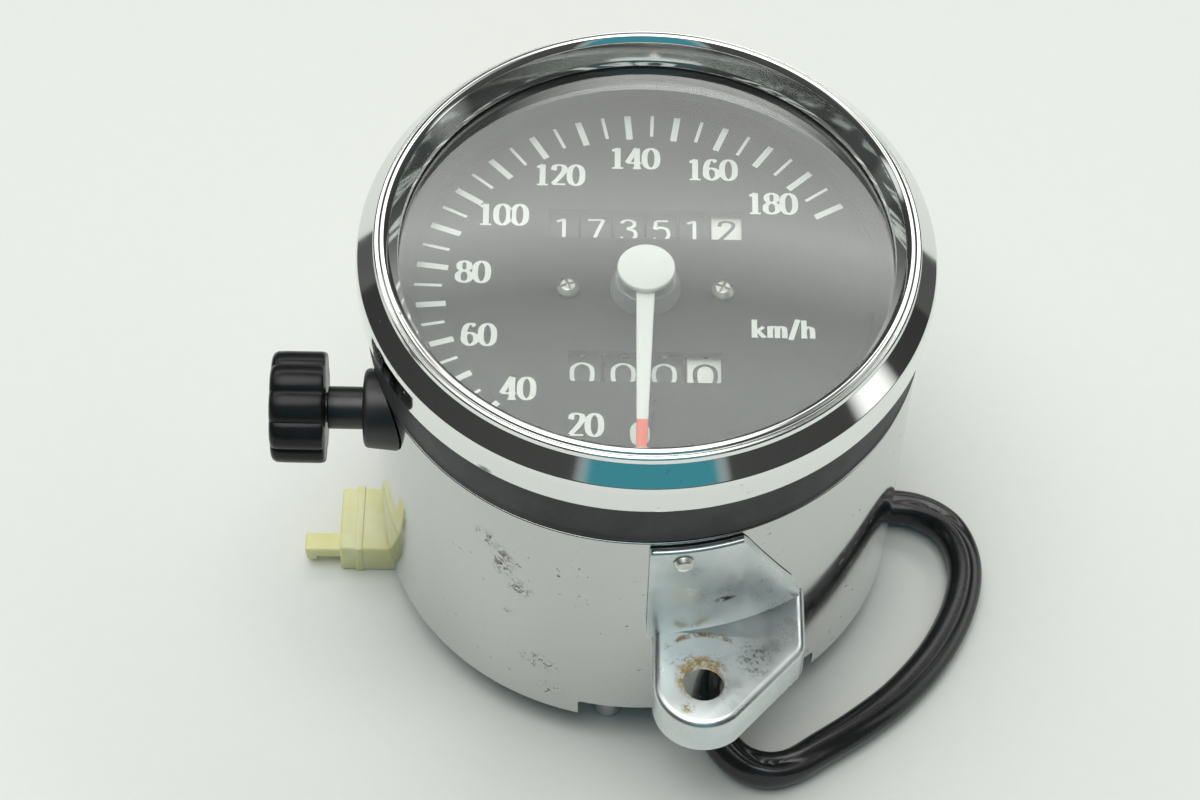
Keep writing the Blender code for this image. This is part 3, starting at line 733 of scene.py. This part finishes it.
# %% Number wheels
DRUM_BLACK = moulding("drum_black", (0.010, 0.010, 0.011), (0.022, 0.022, 0.022), 0.35, 0.5, 2500, 0.01)
DRUM_WHITE = moulding("drum_white", (0.78, 0.77, 0.73), (0.70, 0.68, 0.62), 0.40, 0.52, 2500, 0.01)


def number_wheel(node_name, body, shown, size, squeeze, pale):
    low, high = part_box(node_name)
    middle = centre_of(node_name)
    half = (high.x - low.x) / MM / 2
    rim = (high.z - low.z) / MM / 2
    lathe(
        node_name + "_drum", [(1.75, half), (rim, half, 0.25), (rim, -half, 0.25), (1.75, -half)],
        DRUM_WHITE if pale else DRUM_BLACK, body, [node_name], at=middle, along="X", steps=96,
    )
    bm = bmesh.new()
    for figure in range(10):
        start = math.radians(36 * (figure - shown))

        def round_rim(x, y, lift):
            angle = start + y / rim
            out = rim + 0.03 + lift
            return spot(
                middle.x + x * squeeze, middle.y + out * math.sin(angle), middle.z + out * math.cos(angle)
            )

        write(bm, str(figure), size, 0.48, 0.48, round_rim)
    put(node_name + "_figures", mesh_of(bm, node_name), BLACK_INK if pale else WHITE_INK, body, smooth=0)


for place_from_right, shown in enumerate((2, 1, 5, 3, 7, 1)):
    name = f"odometer_wheel_{place_from_right + 1}"
    number_wheel(name, f"odometer_{place_from_right + 1}", shown, 4.5, 1.25, place_from_right == 0)
for place_from_right in range(4):
    name = f"trip_wheel_{place_from_right + 1}"
    number_wheel(name, f"trip_{place_from_right + 1}", 0, 4.7, 1.45, place_from_right == 0)
print("ten number wheels")

# %% [markdown]
# The needle is a thin white blade with a signal-red tip. Paint is only a colour that changes with
# the distance from the axis, so one finish does both. The blade's outline is narrow at the tip, and
# its edges are softened so that they catch a line of light.

# %% Needle
TIP_FROM = 28.2


def painted_blade():
    made, tree, shader = finish("needle_paint", (0.85, 0.84, 0.81), 0.38)
    place = tree.nodes.new("ShaderNodeTexCoord")
    away = node(tree, "ShaderNodeVectorMath", operation="DISTANCE")
    flat = node(tree, "ShaderNodeVectorMath", operation="MULTIPLY")
    flat.inputs[1].default_value = (1, 1, 0)
    tree.links.new(place.outputs["Object"], flat.inputs[0])
    tree.links.new(flat.outputs[0], away.inputs[0])
    away.inputs[1].default_value = (AXIS.x, AXIS.y, 0)
    tip = between(tree, away.outputs["Value"], TIP_FROM * MM, (TIP_FROM + 0.3) * MM)
    grime = between(tree, noise(tree, 500, 5), 0.35, 0.7, 0.9, 1.0)
    white = blend_colours(tree, grime, (0.55, 0.52, 0.46), (0.86, 0.85, 0.82))
    tree.links.new(blend_colours(tree, tip, white, (0.95, 0.10, 0.03)), shader.inputs["Base Color"])
    bump(tree, shader, noise(tree, 3000, 3), 0.2, 0.01)
    return made


def extruded(points, move):
    """A face through the points, drawn out by move. Gives the mesh and the moved corners."""
    bm = bmesh.new()
    face = bm.faces.new([bm.verts.new(point) for point in points])
    grown = bmesh.ops.extrude_face_region(bm, geom=[face])["geom"]
    far = [item for item in grown if isinstance(item, bmesh.types.BMVert)]
    bmesh.ops.translate(bm, verts=far, vec=move)
    return bm, far


NEEDLE_LOW = height("needle", False)
NEEDLE_TOP = height("needle")
blade = [
    (-1.5, 3.0), (-1.45, -4.0), (-0.80, -33.4), (-0.50, -34.3),
    (0.50, -34.3), (0.80, -33.4), (1.45, -4.0), (1.5, 3.0),
]
rest = Matrix.Rotation(math.radians(-1.04), 2)
flat_blade = [spot(*(rest @ Vector(p)), NEEDLE_LOW) for p in blade]
bm = extruded(flat_blade, (0, 0, (NEEDLE_TOP - NEEDLE_LOW) * MM))[0]
bmesh.ops.bevel(bm, geom=bm.edges[:], offset=0.22 * MM, segments=2, profile=0.5, affect="EDGES")
put(
    "needle_blade", mesh_of(bm, "needle_blade"), painted_blade(), "needle_group", ["needle"],
    slot="white_plastic",
)
print("needle", len(blade), "corners")

# %% [markdown]
# The cap is a white moulded disc, and the boss under it is clear plastic. Clear parts look real
# when their edges are round, because an edge is where they gather light. The boss gets a rounded
# top and a small foot.

# %% Cap and boss
CAP_WHITE = moulding("cap_white", (0.84, 0.84, 0.82), (0.74, 0.73, 0.70), 0.28, 0.40, 1500, 0.01)
CAP_LOW = height("needle_cap", False)
CAP_TOP = height("needle_cap")
lathe(
    "needle_button", [(0, CAP_TOP), (4.5, CAP_TOP - 0.05, 0.35), (4.55, CAP_LOW, 0.15), (0, CAP_LOW)],
    CAP_WHITE, "needle_group", ["needle_cap"], steps=96, slot="white_plastic",
)
HUB_LOW = height("needle_hub", False)
HUB_TOP = height("needle_hub")
BOSS_CLEAR = clear_sheet("boss_clear", (0.55, 0.57, 0.57), 0.30)
lathe(
    "clear_boss",
    [(1.1, HUB_TOP), (4.9, HUB_TOP, 0.6), (5.5, HUB_LOW + 0.8, 0.3), (5.6, HUB_LOW, 0.2), (1.1, HUB_LOW)],
    BOSS_CLEAR, "needle_group", ["needle_hub"], steps=96, slot="clear_plastic",
)
print("cap top", round(CAP_TOP, 2))

# %% [markdown]
# Steel comes in two kinds here: bright heads and pins that the eye sees, and the plain works inside.
# Both are Principled metal with a fine directional noise, and a little brown where they have aged.

# %% Metals
def metal(name, colour, low, high, grain, rust=0.0, rust_colour=(0.22, 0.10, 0.04)):
    made, tree, shader = finish(name, colour, low, 1.0)
    aged = between(tree, noise(tree, 260, 6, 0.7), 0.62 - rust * 0.2, 0.72 - rust * 0.1)
    tree.links.new(blend_colours(tree, aged, colour, rust_colour), shader.inputs["Base Color"])
    tree.links.new(between(tree, noise(tree, 150, 5), 0.3, 0.7, low, high), shader.inputs["Roughness"])
    bump(tree, shader, noise(tree, grain, 4), 0.25, 0.02)
    return made


SCREW_STEEL = metal("screw_steel", (0.52, 0.50, 0.47), 0.25, 0.42, 1500, 0.3)
WORKS_STEEL = metal("works_steel", (0.50, 0.51, 0.52), 0.28, 0.42, 1200)
WORKS_BRASS = metal("works_brass", (0.72, 0.54, 0.26), 0.28, 0.42, 1200)
WORKS_ALUMINIUM = metal("works_aluminium", (0.80, 0.81, 0.82), 0.30, 0.45, 1200)
PLATED = metal("plated_steel", (0.66, 0.67, 0.68), 0.22, 0.36, 900, 0.15)
CLEAR_BULB = clear_sheet("bulb_clear", (0.95, 0.95, 0.93), 0.02)
FINISHES = {
    "steel": WORKS_STEEL, "brass": WORKS_BRASS, "aluminium": WORKS_ALUMINIUM, "zinc_plate": PLATED,
    "black_plastic": CASE_BLACK, "rubber": COLLAR_RUBBER, "dial_black": DRUM_BLACK,
    "white_plastic": DRUM_WHITE, "glass": CLEAR_BULB, "clear_plastic": BOSS_CLEAR, "chrome": COVER_CHROME,
}
slots = {part["node"]: part["material_slot"] for part in frame["record"]["subparts"]}
for name, packed in frame["nodes"].items():
    if name != "dial_plate" and slots[name] in FINISHES:
        packed.data.materials.clear()
        packed.data.materials.append(FINISHES[slots[name]])
print("finished", len(slots), "packed nodes")

# %% [markdown]
# Two pan-head screws hold the dial, each with a cross recess. The head is turned, and the cross is
# two crossed bars cut out of it. The small pin that the needle rests against is turned too.

# %% Dial screws and stop
for side_name, lean in (("left", 20), ("right", 65)):
    screw_node = f"dial_screw_{side_name}"
    middle = centre_of(screw_node)
    head_top = height(screw_node)
    screw = lathe(
        f"screw_head_{side_name}",
        [
            (0, head_top), (1.1, head_top - 0.1, 0.6), (1.95, head_top - 0.8, 0.5),
            (1.95, head_top - 1.3, 0.1),
            (0.9, head_top - 1.3), (0.9, height(screw_node, False)), (0, height(screw_node, False)),
        ],
        SCREW_STEEL, "gauge", [screw_node], at=(middle.x, middle.y, 0), steps=64, slot="steel",
    )
    bars = []
    for extra in (0, 90):
        way = math.radians(lean + extra)
        along = (math.cos(way), math.sin(way), 0)
        bar = cutter("bar", box_mesh("bar", (-1.15, -0.22, head_top - 0.8), (1.15, 0.22, head_top + 1)))
        turn_bar = Matrix.Rotation(way, 4, "Z")
        bar.data.transform(Matrix.Translation(-AXIS))
        bar.data.transform(turn_bar)
        bar.data.transform(Matrix.Translation(spot(middle.x, middle.y, 0)))
        bars.append(bar)
    carve(screw, *bars)
STOP_LOW = height("needle_stop", False)
STOP_TOP = height("needle_stop")
stop_at = centre_of("needle_stop")
lathe(
    "stop_pin",
    [(0, STOP_TOP), (0.4, STOP_TOP, 0.3), (0.4, STOP_LOW), (0, STOP_LOW)],
    KNOB_BLACK, "gauge", ["needle_stop"], at=(stop_at.x, stop_at.y, 0), steps=32, slot="steel",
)
print("screws and stop")

# %% [markdown]
# The reset knob is moulded with ten soft flutes, so that wet fingers can turn it. Its section is a
# circle with a shallow wave in it, and each end is the same section drawn in a little. Rows of the
# section, joined by quads, make the whole knob; the last row at each end is filled with one face.

# %% Reset knob
def skinned(bm, rows):
    """Joins rows of points with quads, and closes both ends."""
    for first, second in zip(rows, rows[1:]):
        for i in range(len(first)):
            j = (i + 1) % len(first)
            bm.faces.new((first[i], first[j], second[j], second[i]))
    bm.faces.new(rows[0])
    bm.faces.new(list(reversed(rows[-1])))


def fluted(name, stations, radius, depth, count, at):
    """Rows of a waved circle about X. stations are (x, how far the section is drawn in)."""
    bm = bmesh.new()
    rows = []
    around = count * 16
    for x, inset in stations:
        row = []
        for step in range(around):
            angle = 2 * math.pi * step / around
            wave = abs(math.sin(count * angle / 2)) ** 0.7
            out = radius - inset - depth * (1 - wave)
            row.append(bm.verts.new(spot(x, at[0] + out * math.cos(angle), at[1] + out * math.sin(angle))))
        rows.append(row)
    skinned(bm, rows)
    return mesh_of(bm, name)


KNOB_OUT = (RESET_LOW.x - AXIS.x) / MM
KNOB_IN = (RESET_HIGH.x - AXIS.x) / MM
ends = [(KNOB_OUT, 1.3), (KNOB_OUT + 0.1, 0.85), (KNOB_OUT + 0.4, 0.35), (KNOB_OUT + 1.0, 0.05)]
ends += [(KNOB_OUT + 2.5, 0.0), (KNOB_IN - 0.6, 0.0), (KNOB_IN - 0.15, 0.12), (KNOB_IN, 0.4)]
knob_mesh = fluted("fluted_knob", ends, 9.0, 0.75, 10, (RESET_Y, RESET_Z))
put("fluted_knob", knob_mesh, KNOB_BLACK, "reset", ["reset_knob"], slot="black_plastic", smooth=35)
print("knob", round(KNOB_OUT, 1), "to", round(KNOB_IN, 1))

# %% [markdown]
# The knob's shaft is steel inside the gauge and has a black sleeve outside it; here the whole shaft is
# turned in one black finish, about X, with a small shoulder where the knob is pressed on. The collar is
# a rubber grommet: a round flange whose back is hollowed to sit against the can.

# %% Shaft and collar
SHAFT_BLACK = moulding("shaft_black", (0.008, 0.008, 0.009), (0.018, 0.018, 0.018), 0.30, 0.45, 1200, 0.03)
shaft_low, shaft_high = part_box("reset_shaft")
tip_x = (shaft_high.x - AXIS.x) / MM
lathe(
    "knob_shaft",
    [
        (0, tip_x), (1.4, tip_x, 0.3), (1.4, -19.2), (3.35, -19.4, 0.3), (3.35, KNOB_IN + 0.4, 0.2),
        (2.4, KNOB_IN + 0.3), (2.4, -55.0), (0, -55.0),
    ],
    SHAFT_BLACK, "reset", ["reset_shaft"], at=(0, RESET_Y, RESET_Z), along="X", steps=64, slot="steel",
)
collar_low, collar_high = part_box("reset_grommet")
collar_x = (collar_low.x - AXIS.x) / MM
collar = lathe(
    "rubber_collar",
    [
        (3.7, collar_x + 0.3, 0.3), (4.6, collar_x, 0.4), (6.2, collar_x + 0.2, 1.0),
        (6.8, -36.8), (3.7, -36.8),
    ],
    COLLAR_RUBBER, "gauge", ["reset_grommet"], at=(0, RESET_Y, RESET_Z),
    along="X", steps=96, slot="rubber",
)
carve(collar, cutter("can_shape", rod_mesh("can_shape", 43.75, 20, 80, sides=256)))
neck = cutter("neck", rod_mesh("neck", 4.55, -43.2, -38.0, (0, RESET_Y, RESET_Z), (1, 0, 0)))
carve(collar, neck, operation="UNION")
bore = cutter("bore", rod_mesh("bore", 3.7, -50, -30, (0, RESET_Y, RESET_Z), (1, 0, 0)))
carve(collar, bore)
print("collar from", round(collar_x, 1))

# %% [markdown]
# The bracket is one piece of bright-plated sheet, 1.4 mm thick. A press cut it, folded the lip
# forward and turned the lip's edge down, which left a soft round edge that shines. The lip is built
# as a block with its top edge rounded, then hollowed from below. The tongue behind it is a slice of
# a tube, cut to a slant at its free corner.

# %% Bracket
SHEET = 1.4
LIP_TOP = 37.2
HOLE = (9.9, -54.0)
BRACKET_BACK = 43.8


def sweep(radius, start, end, count, middle=(0, 0)):
    """Points on an arc, in degrees anticlockwise from the right."""
    points = []
    for i in range(count + 1):
        angle = math.radians(start + (end - start) * i / count)
        points.append((middle[0] + radius * math.cos(angle), middle[1] + radius * math.sin(angle)))
    return points


def lip_shape(inset):
    """The lip from above: straight sides, a round end about the hole, and a slanted edge."""
    slant = math.radians(41.3)
    points = sweep(7.8 - inset, 180, 311.3, 40, HOLE)
    right = 25.8 - inset
    last_x, last_y = points[-1]
    corner_y = last_y + (right - last_x) / math.tan(slant)
    points.append((right - 0.8, corner_y - 0.9))
    points.append((right - 0.2, corner_y + 0.1))
    points.append((right, corner_y + 1.2))
    points.append((right, -36.2))
    return points


def prism(name, outline, low, high, rim=0.0):
    """An upright prism in millimetres; rim rounds its top edge."""
    bm, raised = extruded([spot(x, y, low) for x, y in outline], (0, 0, (high - low) * MM))
    if rim:
        ridge = [edge for edge in bm.edges if all(vert in raised for vert in edge.verts)]
        bmesh.ops.bevel(bm, geom=ridge, offset=rim * MM, segments=6, profile=0.5, affect="EDGES")
    return mesh_of(bm, name)


def plated_sheet():
    """Bright zinc: soft gloss, a blue-green cast, brown rust about the hole, and rub marks."""
    made, tree, shader = finish("bracket_plate", (0.66, 0.70, 0.70), 0.28, 1.0)
    patchy = between(tree, noise(tree, 900, 5, 0.65), 0.42, 0.58)

    def broken(*lump):
        return combined(tree, "MULTIPLY", near(tree, *lump), patchy)

    rust = broken((9.6, -53.2, LIP_TOP), 3.4, 4.5)
    spot_rust = broken((7.4, -58.6, LIP_TOP), 0.4, 1.4)
    inside = near(tree, (*HOLE, LIP_TOP), 8.1, 8.5)
    washer = combined(tree, "SUBTRACT", near(tree, (*HOLE, LIP_TOP), 8.9, 9.4), inside)
    washer = combined(tree, "MULTIPLY", washer, broken((9.3, -46.4, LIP_TOP), 4.6, 6.0))
    rubs = between(tree, noise(tree, 1500, 4), 0.52, 0.60)
    rubbed = combined(tree, "MULTIPLY", near(tree, (17.8, -49.8, LIP_TOP), 1.2, 3.2, (1, 1.3, 1)), rubs)
    low_rub = combined(tree, "MULTIPLY", near(tree, (9.0, -50.3, LIP_TOP), 1.0, 3.2, (1.8, 0.6, 1)), rubs)
    rubbed = combined(tree, "MAXIMUM", rubbed, low_rub)
    scrape = near(tree, (13.0, -43.3, 44.6), 0.5, 1.5, (1.5, 1, 0.6))
    scrape = combined(tree, "MULTIPLY", scrape, between(tree, noise(tree, 700, 3), 0.40, 0.5))
    clouds = between(tree, noise(tree, 110, 4), 0.35, 0.7)
    colour = blend_colours(tree, clouds, (0.68, 0.72, 0.72), (0.56, 0.61, 0.62))
    colour = blend_colours(tree, rubbed, colour, (0.24, 0.25, 0.25))
    colour = blend_colours(tree, scrape, colour, (0.05, 0.05, 0.05))
    colour = blend_colours(tree, washer, colour, (0.30, 0.22, 0.12))
    colour = blend_colours(tree, rust, colour, (0.42, 0.28, 0.10))
    colour = blend_colours(tree, spot_rust, colour, (0.30, 0.22, 0.08))
    tree.links.new(colour, shader.inputs["Base Color"])
    tree.links.new(between(tree, noise(tree, 200, 5), 0.3, 0.7, 0.24, 0.38), shader.inputs["Roughness"])
    bump(tree, shader, noise(tree, 60, 4, 0.5), 0.25, 0.10)
    return made


bracket_back = sweep(BRACKET_BACK, -54.5, -87.2, 24)
lip_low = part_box("mounting_bracket")[0].z / MM
bracket_mesh = prism("plated_bracket", lip_shape(0) + bracket_back, lip_low, LIP_TOP, 1.2)
bracket = put(
    "plated_bracket", bracket_mesh, plated_sheet(), "gauge", ["mounting_bracket"], slot="zinc_plate"
)
pocket_outline = lip_shape(SHEET) + sweep(BRACKET_BACK - 1.5, -54.0, -85.0, 24)
pocket = cutter("pocket", prism("pocket", pocket_outline, 25, LIP_TOP - SHEET))
tongue_outline = sweep(BRACKET_BACK + SHEET, -88.7, -56.5, 32) + sweep(BRACKET_BACK, -56.5, -88.7, 32)
tongue = cutter("tongue", prism("tongue", tongue_outline, LIP_TOP - SHEET + 0.2, 59.4, 0.6))
slant_line = [(15.2, 60), (15.2, 59.0), (15.9, 57.9), (24.9, 38.8), (32, 38.8), (32, 60)]
slant_bm = extruded([spot(x, -50, z) for x, z in slant_line], (0, 22 * MM, 0))[0]
slant_tool = cutter("slant", mesh_of(slant_bm, "slant"))
carve(tongue, slant_tool)
carve(bracket, pocket)
carve(bracket, cutter("bolt_hole", rod_mesh("bolt_hole", 3.25, 25, 45, (*HOLE, 0), sides=64)))
joined = bmesh.new()
joined.from_mesh(bracket.data)
joined.from_mesh(tongue.data)
joined.to_mesh(bracket.data)
joined.free()
bpy.data.objects.remove(tongue)
print("bracket faces", len(bracket.data.polygons))

# %% [markdown]
# One dome-headed rivet holds the tongue to the can. It is turned like the rest, and then laid over so
# that its axis points outwards from the wall.

# %% Rivet
RIVET_STEEL = metal("rivet_steel", (0.70, 0.70, 0.67), 0.30, 0.45, 1500, 0.1)
rivet_mid = centre_of("bracket_rivet")
rivet_way = Vector((rivet_mid.x, rivet_mid.y, 0)).normalized()
dome = rounded(
    [(0, 46.3), (1.15, 46.15, 0.5), (1.7, 45.3, 0.1), (0.95, 45.3), (0.95, 42.2), (0, 42.2)], False
)
bm = turned(dome, False, 48)
lay = rivet_way.to_track_quat("Z", "Y").to_matrix()
bmesh.ops.rotate(bm, verts=bm.verts, cent=(0, 0, 0), matrix=lay)
bmesh.ops.translate(bm, verts=bm.verts, vec=spot(0, 0, rivet_mid.z))
put("dome_rivet", mesh_of(bm, "dome_rivet"), RIVET_STEEL, "gauge", ["bracket_rivet"], slot="steel")
print("rivet at", [round(v, 1) for v in rivet_mid])

# %% [markdown]
# The harness is a soft vinyl sleeve over a few thin wires. It leaves the rubber elbow under the can,
# comes out through the notch, goes round the front and the right side on the floor, and returns
# under the rim to the plug. A soft sleeve creases where it bends hard and flattens a little where it
# lies, so its section is worked out at every step of the way: an oval with a shallow fold in it.

# %% Harness sleeve
SLEEVE_ROUTE = [
    (11.2, -33.4, 6.9), (11.7, -37.2, 6.6), (12.4, -41.4, 5.6), (14.0, -45.2, 4.4), (17.2, -48.4, 3.5),
    (21.4, -49.8, 3.2), (25.8, -48.7, 3.2), (30.4, -45.6, 3.2), (37.1, -40.7, 3.2), (43.9, -34.6, 3.2),
    (50.1, -26.6, 3.2), (54.4, -17.6, 3.2), (55.8, -9.2, 3.2), (53.6, -2.3, 3.2), (48.6, 1.6, 3.2),
    (42.6, 2.8, 3.2), (35.6, 3.2, 3.2), (28.0, 4.8, 3.2), (19.6, 9.0, 3.2), (10.4, 13.0, 3.2),
    (0.4, 13.9, 3.2), (-9.4, 11.6, 3.2), (-17.6, 6.6, 3.2), (-24.0, 0.0, 3.2), (-29.6, -3.2, 3.2),
    (-34.2, -3.7, 3.2),
]
SLEEVE_D = 6.3
PER_SPAN = 12
line = through(SLEEVE_ROUTE, False, PER_SPAN)
AROUND = 40
bm = bmesh.new()
rows = []
for i, point in enumerate(line):
    way = (line[min(i + 1, len(line) - 1)] - line[max(i - 1, 0)]).normalized()
    across = way.cross(Vector((0, 0, 1))).normalized()
    upward = across.cross(way)
    travel = i / PER_SPAN
    crease = math.exp(-((travel - 5.0) / 0.8) ** 2) + 0.8 * math.exp(-((travel - 13.4) / 0.7) ** 2)
    fold_at = math.radians(75 + 50 * math.sin(0.42 * travel + 0.6))
    ends_round = min(1, i / 10, (len(line) - 1 - i) / 10)
    row = []
    for step in range(AROUND):
        angle = 2 * math.pi * step / AROUND
        away = (angle - fold_at + math.pi) % (2 * math.pi) - math.pi
        valley = math.exp(-(away / 0.30) ** 2)
        ridge = math.exp(-((abs(away) - 0.75) / 0.28) ** 2)
        fold = (0.045 + 0.05 * crease) * ridge - (0.12 + 0.26 * crease) * valley
        radius = SLEEVE_D / 2 * (1 + ends_round * fold)
        reach = across * (radius * 0.90 * math.cos(angle)) + upward * (radius * 0.97 * math.sin(angle))
        row.append(bm.verts.new(spot(*(point + reach))))
    rows.append(row)
skinned(bm, rows)
sleeve = put(
    "vinyl_sleeve", mesh_of(bm, "vinyl_sleeve"), SLEEVE_VINYL, "gauge", ["harness_sleeve"],
    slot="black_plastic", smooth=50,
)

# %% [markdown]
# The plug is old nylon that has gone yellow, and light gets a little way into it, so it has some
# scattering below the surface. It is a box with soft edges, an open mouth for the terminals, two
# small ribs and a long latch.

# %% Plug
def old_nylon():
    made, tree, shader = finish("old_nylon", (0.78, 0.76, 0.42), 0.42)
    deep = between(tree, noise(tree, 160, 4), 0.35, 0.7)
    colour = blend_colours(tree, deep, (0.80, 0.79, 0.50), (0.72, 0.69, 0.30))
    tree.links.new(colour, shader.inputs["Base Color"])
    shader.inputs["Subsurface Weight"].default_value = 0.35
    shader.inputs["Subsurface Radius"].default_value = (0.003, 0.0026, 0.0010)
    shader.inputs["Subsurface Scale"].default_value = 1.0
    bump(tree, shader, noise(tree, 1500, 4), 0.2, 0.02)
    return made


NYLON = old_nylon()
plug = put(
    "nylon_plug", box_mesh("nylon_plug", (-50.0, -10.0, 0.0), (-34.8, 2.6, 6.4), 0.5), NYLON, "gauge",
    ["harness_plug"], slot="aged_nylon",
)
mouth = cutter("mouth", box_mesh("mouth", (-51.0, -3.9, 1.2), (-42.0, 1.4, 5.2), 0.3))
carve(plug, mouth)
latch = cutter("latch", box_mesh("latch", (-56.0, -8.8, 2.0), (-49.0, -5.2, 4.2), 0.4))
latch_foot = cutter("latch_foot", box_mesh("latch_foot", (-55.8, -8.8, 1.2), (-54.0, -5.2, 3.0), 0.3))
carve(plug, latch, operation="UNION")
carve(plug, latch_foot, operation="UNION")
for low_x in (-47.4, -38.4):
    band = cutter("band", box_mesh("band", (low_x, -10.25, 0.1), (low_x + 1.3, 2.85, 6.65), 0.2))
    carve(plug, band, operation="UNION")
print("plug faces", len(plug.data.polygons))

# %% [markdown]
# Under the gauge, three studs with hexagon nuts hold the cover, and the cable screws on to a ferrule
# in the middle. The nuts keep their imported shape. The studs and the ferrule are turned finely
# enough to shine like round metal.

# %% Underneath
for i in range(3):
    stud_top = height(f"cover_stud_{i + 1}")
    middle = centre_of(f"cover_stud_{i + 1}")
    lathe(
        f"stud_{i + 1}", [(0, stud_top), (2.5, stud_top), (2.5, 0.5, 0.3), (1.9, 0), (0, 0)],
        PLATED, "gauge", [f"cover_stud_{i + 1}"], at=(middle.x, middle.y, 0), steps=48, slot="steel",
    )
ferrule_top = height("cable_ferrule")
lathe(
    "turned_ferrule",
    [
        (6.3, ferrule_top, 0.3), (6.3, 15.4), (7.8, 15.4, 0.4), (7.8, 1.5, 0.5), (4.6, 1.5, 0.3),
        (4.6, 8.0, 0.4),
        (1.9, 8.0, 0.2), (1.9, ferrule_top, 0.2),
    ],
    PLATED, "gauge", ["cable_ferrule"], steps=96, slot="zinc_plate",
)
print("ferrule top", round(ferrule_top, 1))

# %% [markdown]
# The gauge stands on a plain pale sheet, and the sheet lies on a wide dark bench. Chrome that faces
# sideways looks past the sheet and finds the bench, which is where its dark lines come from.

# %% Floor
def plain(name, colour, roughness):
    made, tree, shader = finish(name, colour, roughness)
    fleck = between(tree, noise(tree, 300, 4), 0.3, 0.7)
    pale = blend_colours(tree, fleck, colour, tuple(c * 0.985 for c in colour))
    tree.links.new(pale, shader.inputs["Base Color"])
    return made


def laid(name, half_width, level, colour):
    sheet = bpy.data.meshes.new(name)
    bm = bmesh.new()
    bmesh.ops.create_grid(bm, x_segments=1, y_segments=1, size=half_width)
    bm.to_mesh(sheet)
    bm.free()
    sheet.materials.append(plain(name, colour, 0.6))
    made = bpy.data.objects.new(name, sheet)
    made.location.z = level
    bpy.context.scene.collection.objects.link(made)
    return made


laid("floor_paper", 0.38, 0, (0.74, 0.75, 0.73))
laid("floor_bench", 2.5, -0.002, (0.03, 0.03, 0.03))
print("floor laid")

# %% [markdown]
# Chrome shows the whole room, so the room is drawn in the world shader by direction. Everything
# near the horizon is dark, as a room is below a bright ceiling, and that dark band is what draws
# the dark lines in the bezel. Above it the ceiling is a large soft light. A bright patch beyond the
# gauge lays a pale veil on the glass, and a few small windows and a blue-green curtain on the
# viewer's side break the dark band up. The plain colour transform is used, because a white sheet
# under a bright ceiling should come out nearly white.

# %% Room
bpy.context.scene.view_settings.view_transform = "Standard"
world = bpy.data.worlds.new("room")
world.use_nodes = True
bpy.context.scene.world = world
tree = world.node_tree
back = tree.nodes["Background"]
place = tree.nodes.new("ShaderNodeTexCoord")
split = tree.nodes.new("ShaderNodeSeparateXYZ")
tree.links.new(place.outputs["Generated"], split.inputs[0])


def toward(direction, inner, outer, strength):
    """A soft round patch of light: full within inner degrees of a direction, none beyond outer."""
    way = Vector(direction).normalized()
    made = node(tree, "ShaderNodeVectorMath", operation="DOT_PRODUCT")
    tree.links.new(place.outputs["Generated"], made.inputs[0])
    made.inputs[1].default_value = way
    low, high = math.cos(math.radians(outer)), math.cos(math.radians(inner))
    return between(tree, made.outputs["Value"], low, high, 0, strength)


def total(*parts):
    result = parts[0]
    for part in parts[1:]:
        result = combined(tree, "ADD", result, part)
    return result


glow = between(tree, split.outputs["Z"], -0.2, 0.6, 0.03, 0.07)
ceiling = toward((-0.12, -0.06, 1.0), 12, 30, 4.4)
band_top = between(tree, split.outputs["Z"], 0.802, 0.766, 0.06, 1.0)
band_foot = between(tree, split.outputs["Z"], 0.50, 0.765, 0.0, 3.3)
veil_band = combined(tree, "MULTIPLY", band_top, band_foot)
veil = combined(tree, "MULTIPLY", veil_band, toward((0.0, 1.0, 1.0), 35, 75, 1.0))
left_window = toward((-1.0, 0.35, 0.30), 5, 9, 0.8)
right_window = toward((1.0, -0.10, 0.28), 6, 11, 1.2)
far_window = toward((0.35, 1.0, 0.10), 8, 16, 1.2)
curtain = toward((0.05, -0.85, 0.53), 19, 24, 1.0)
light = total(glow, ceiling, veil, left_window, right_window, far_window, curtain)
tree.links.new(light, back.inputs["Strength"])
tint = blend_colours(tree, curtain, (0.985, 1.0, 0.965), (0.05, 0.25, 0.30))
tree.links.new(tint, back.inputs["Color"])
print("room lit")
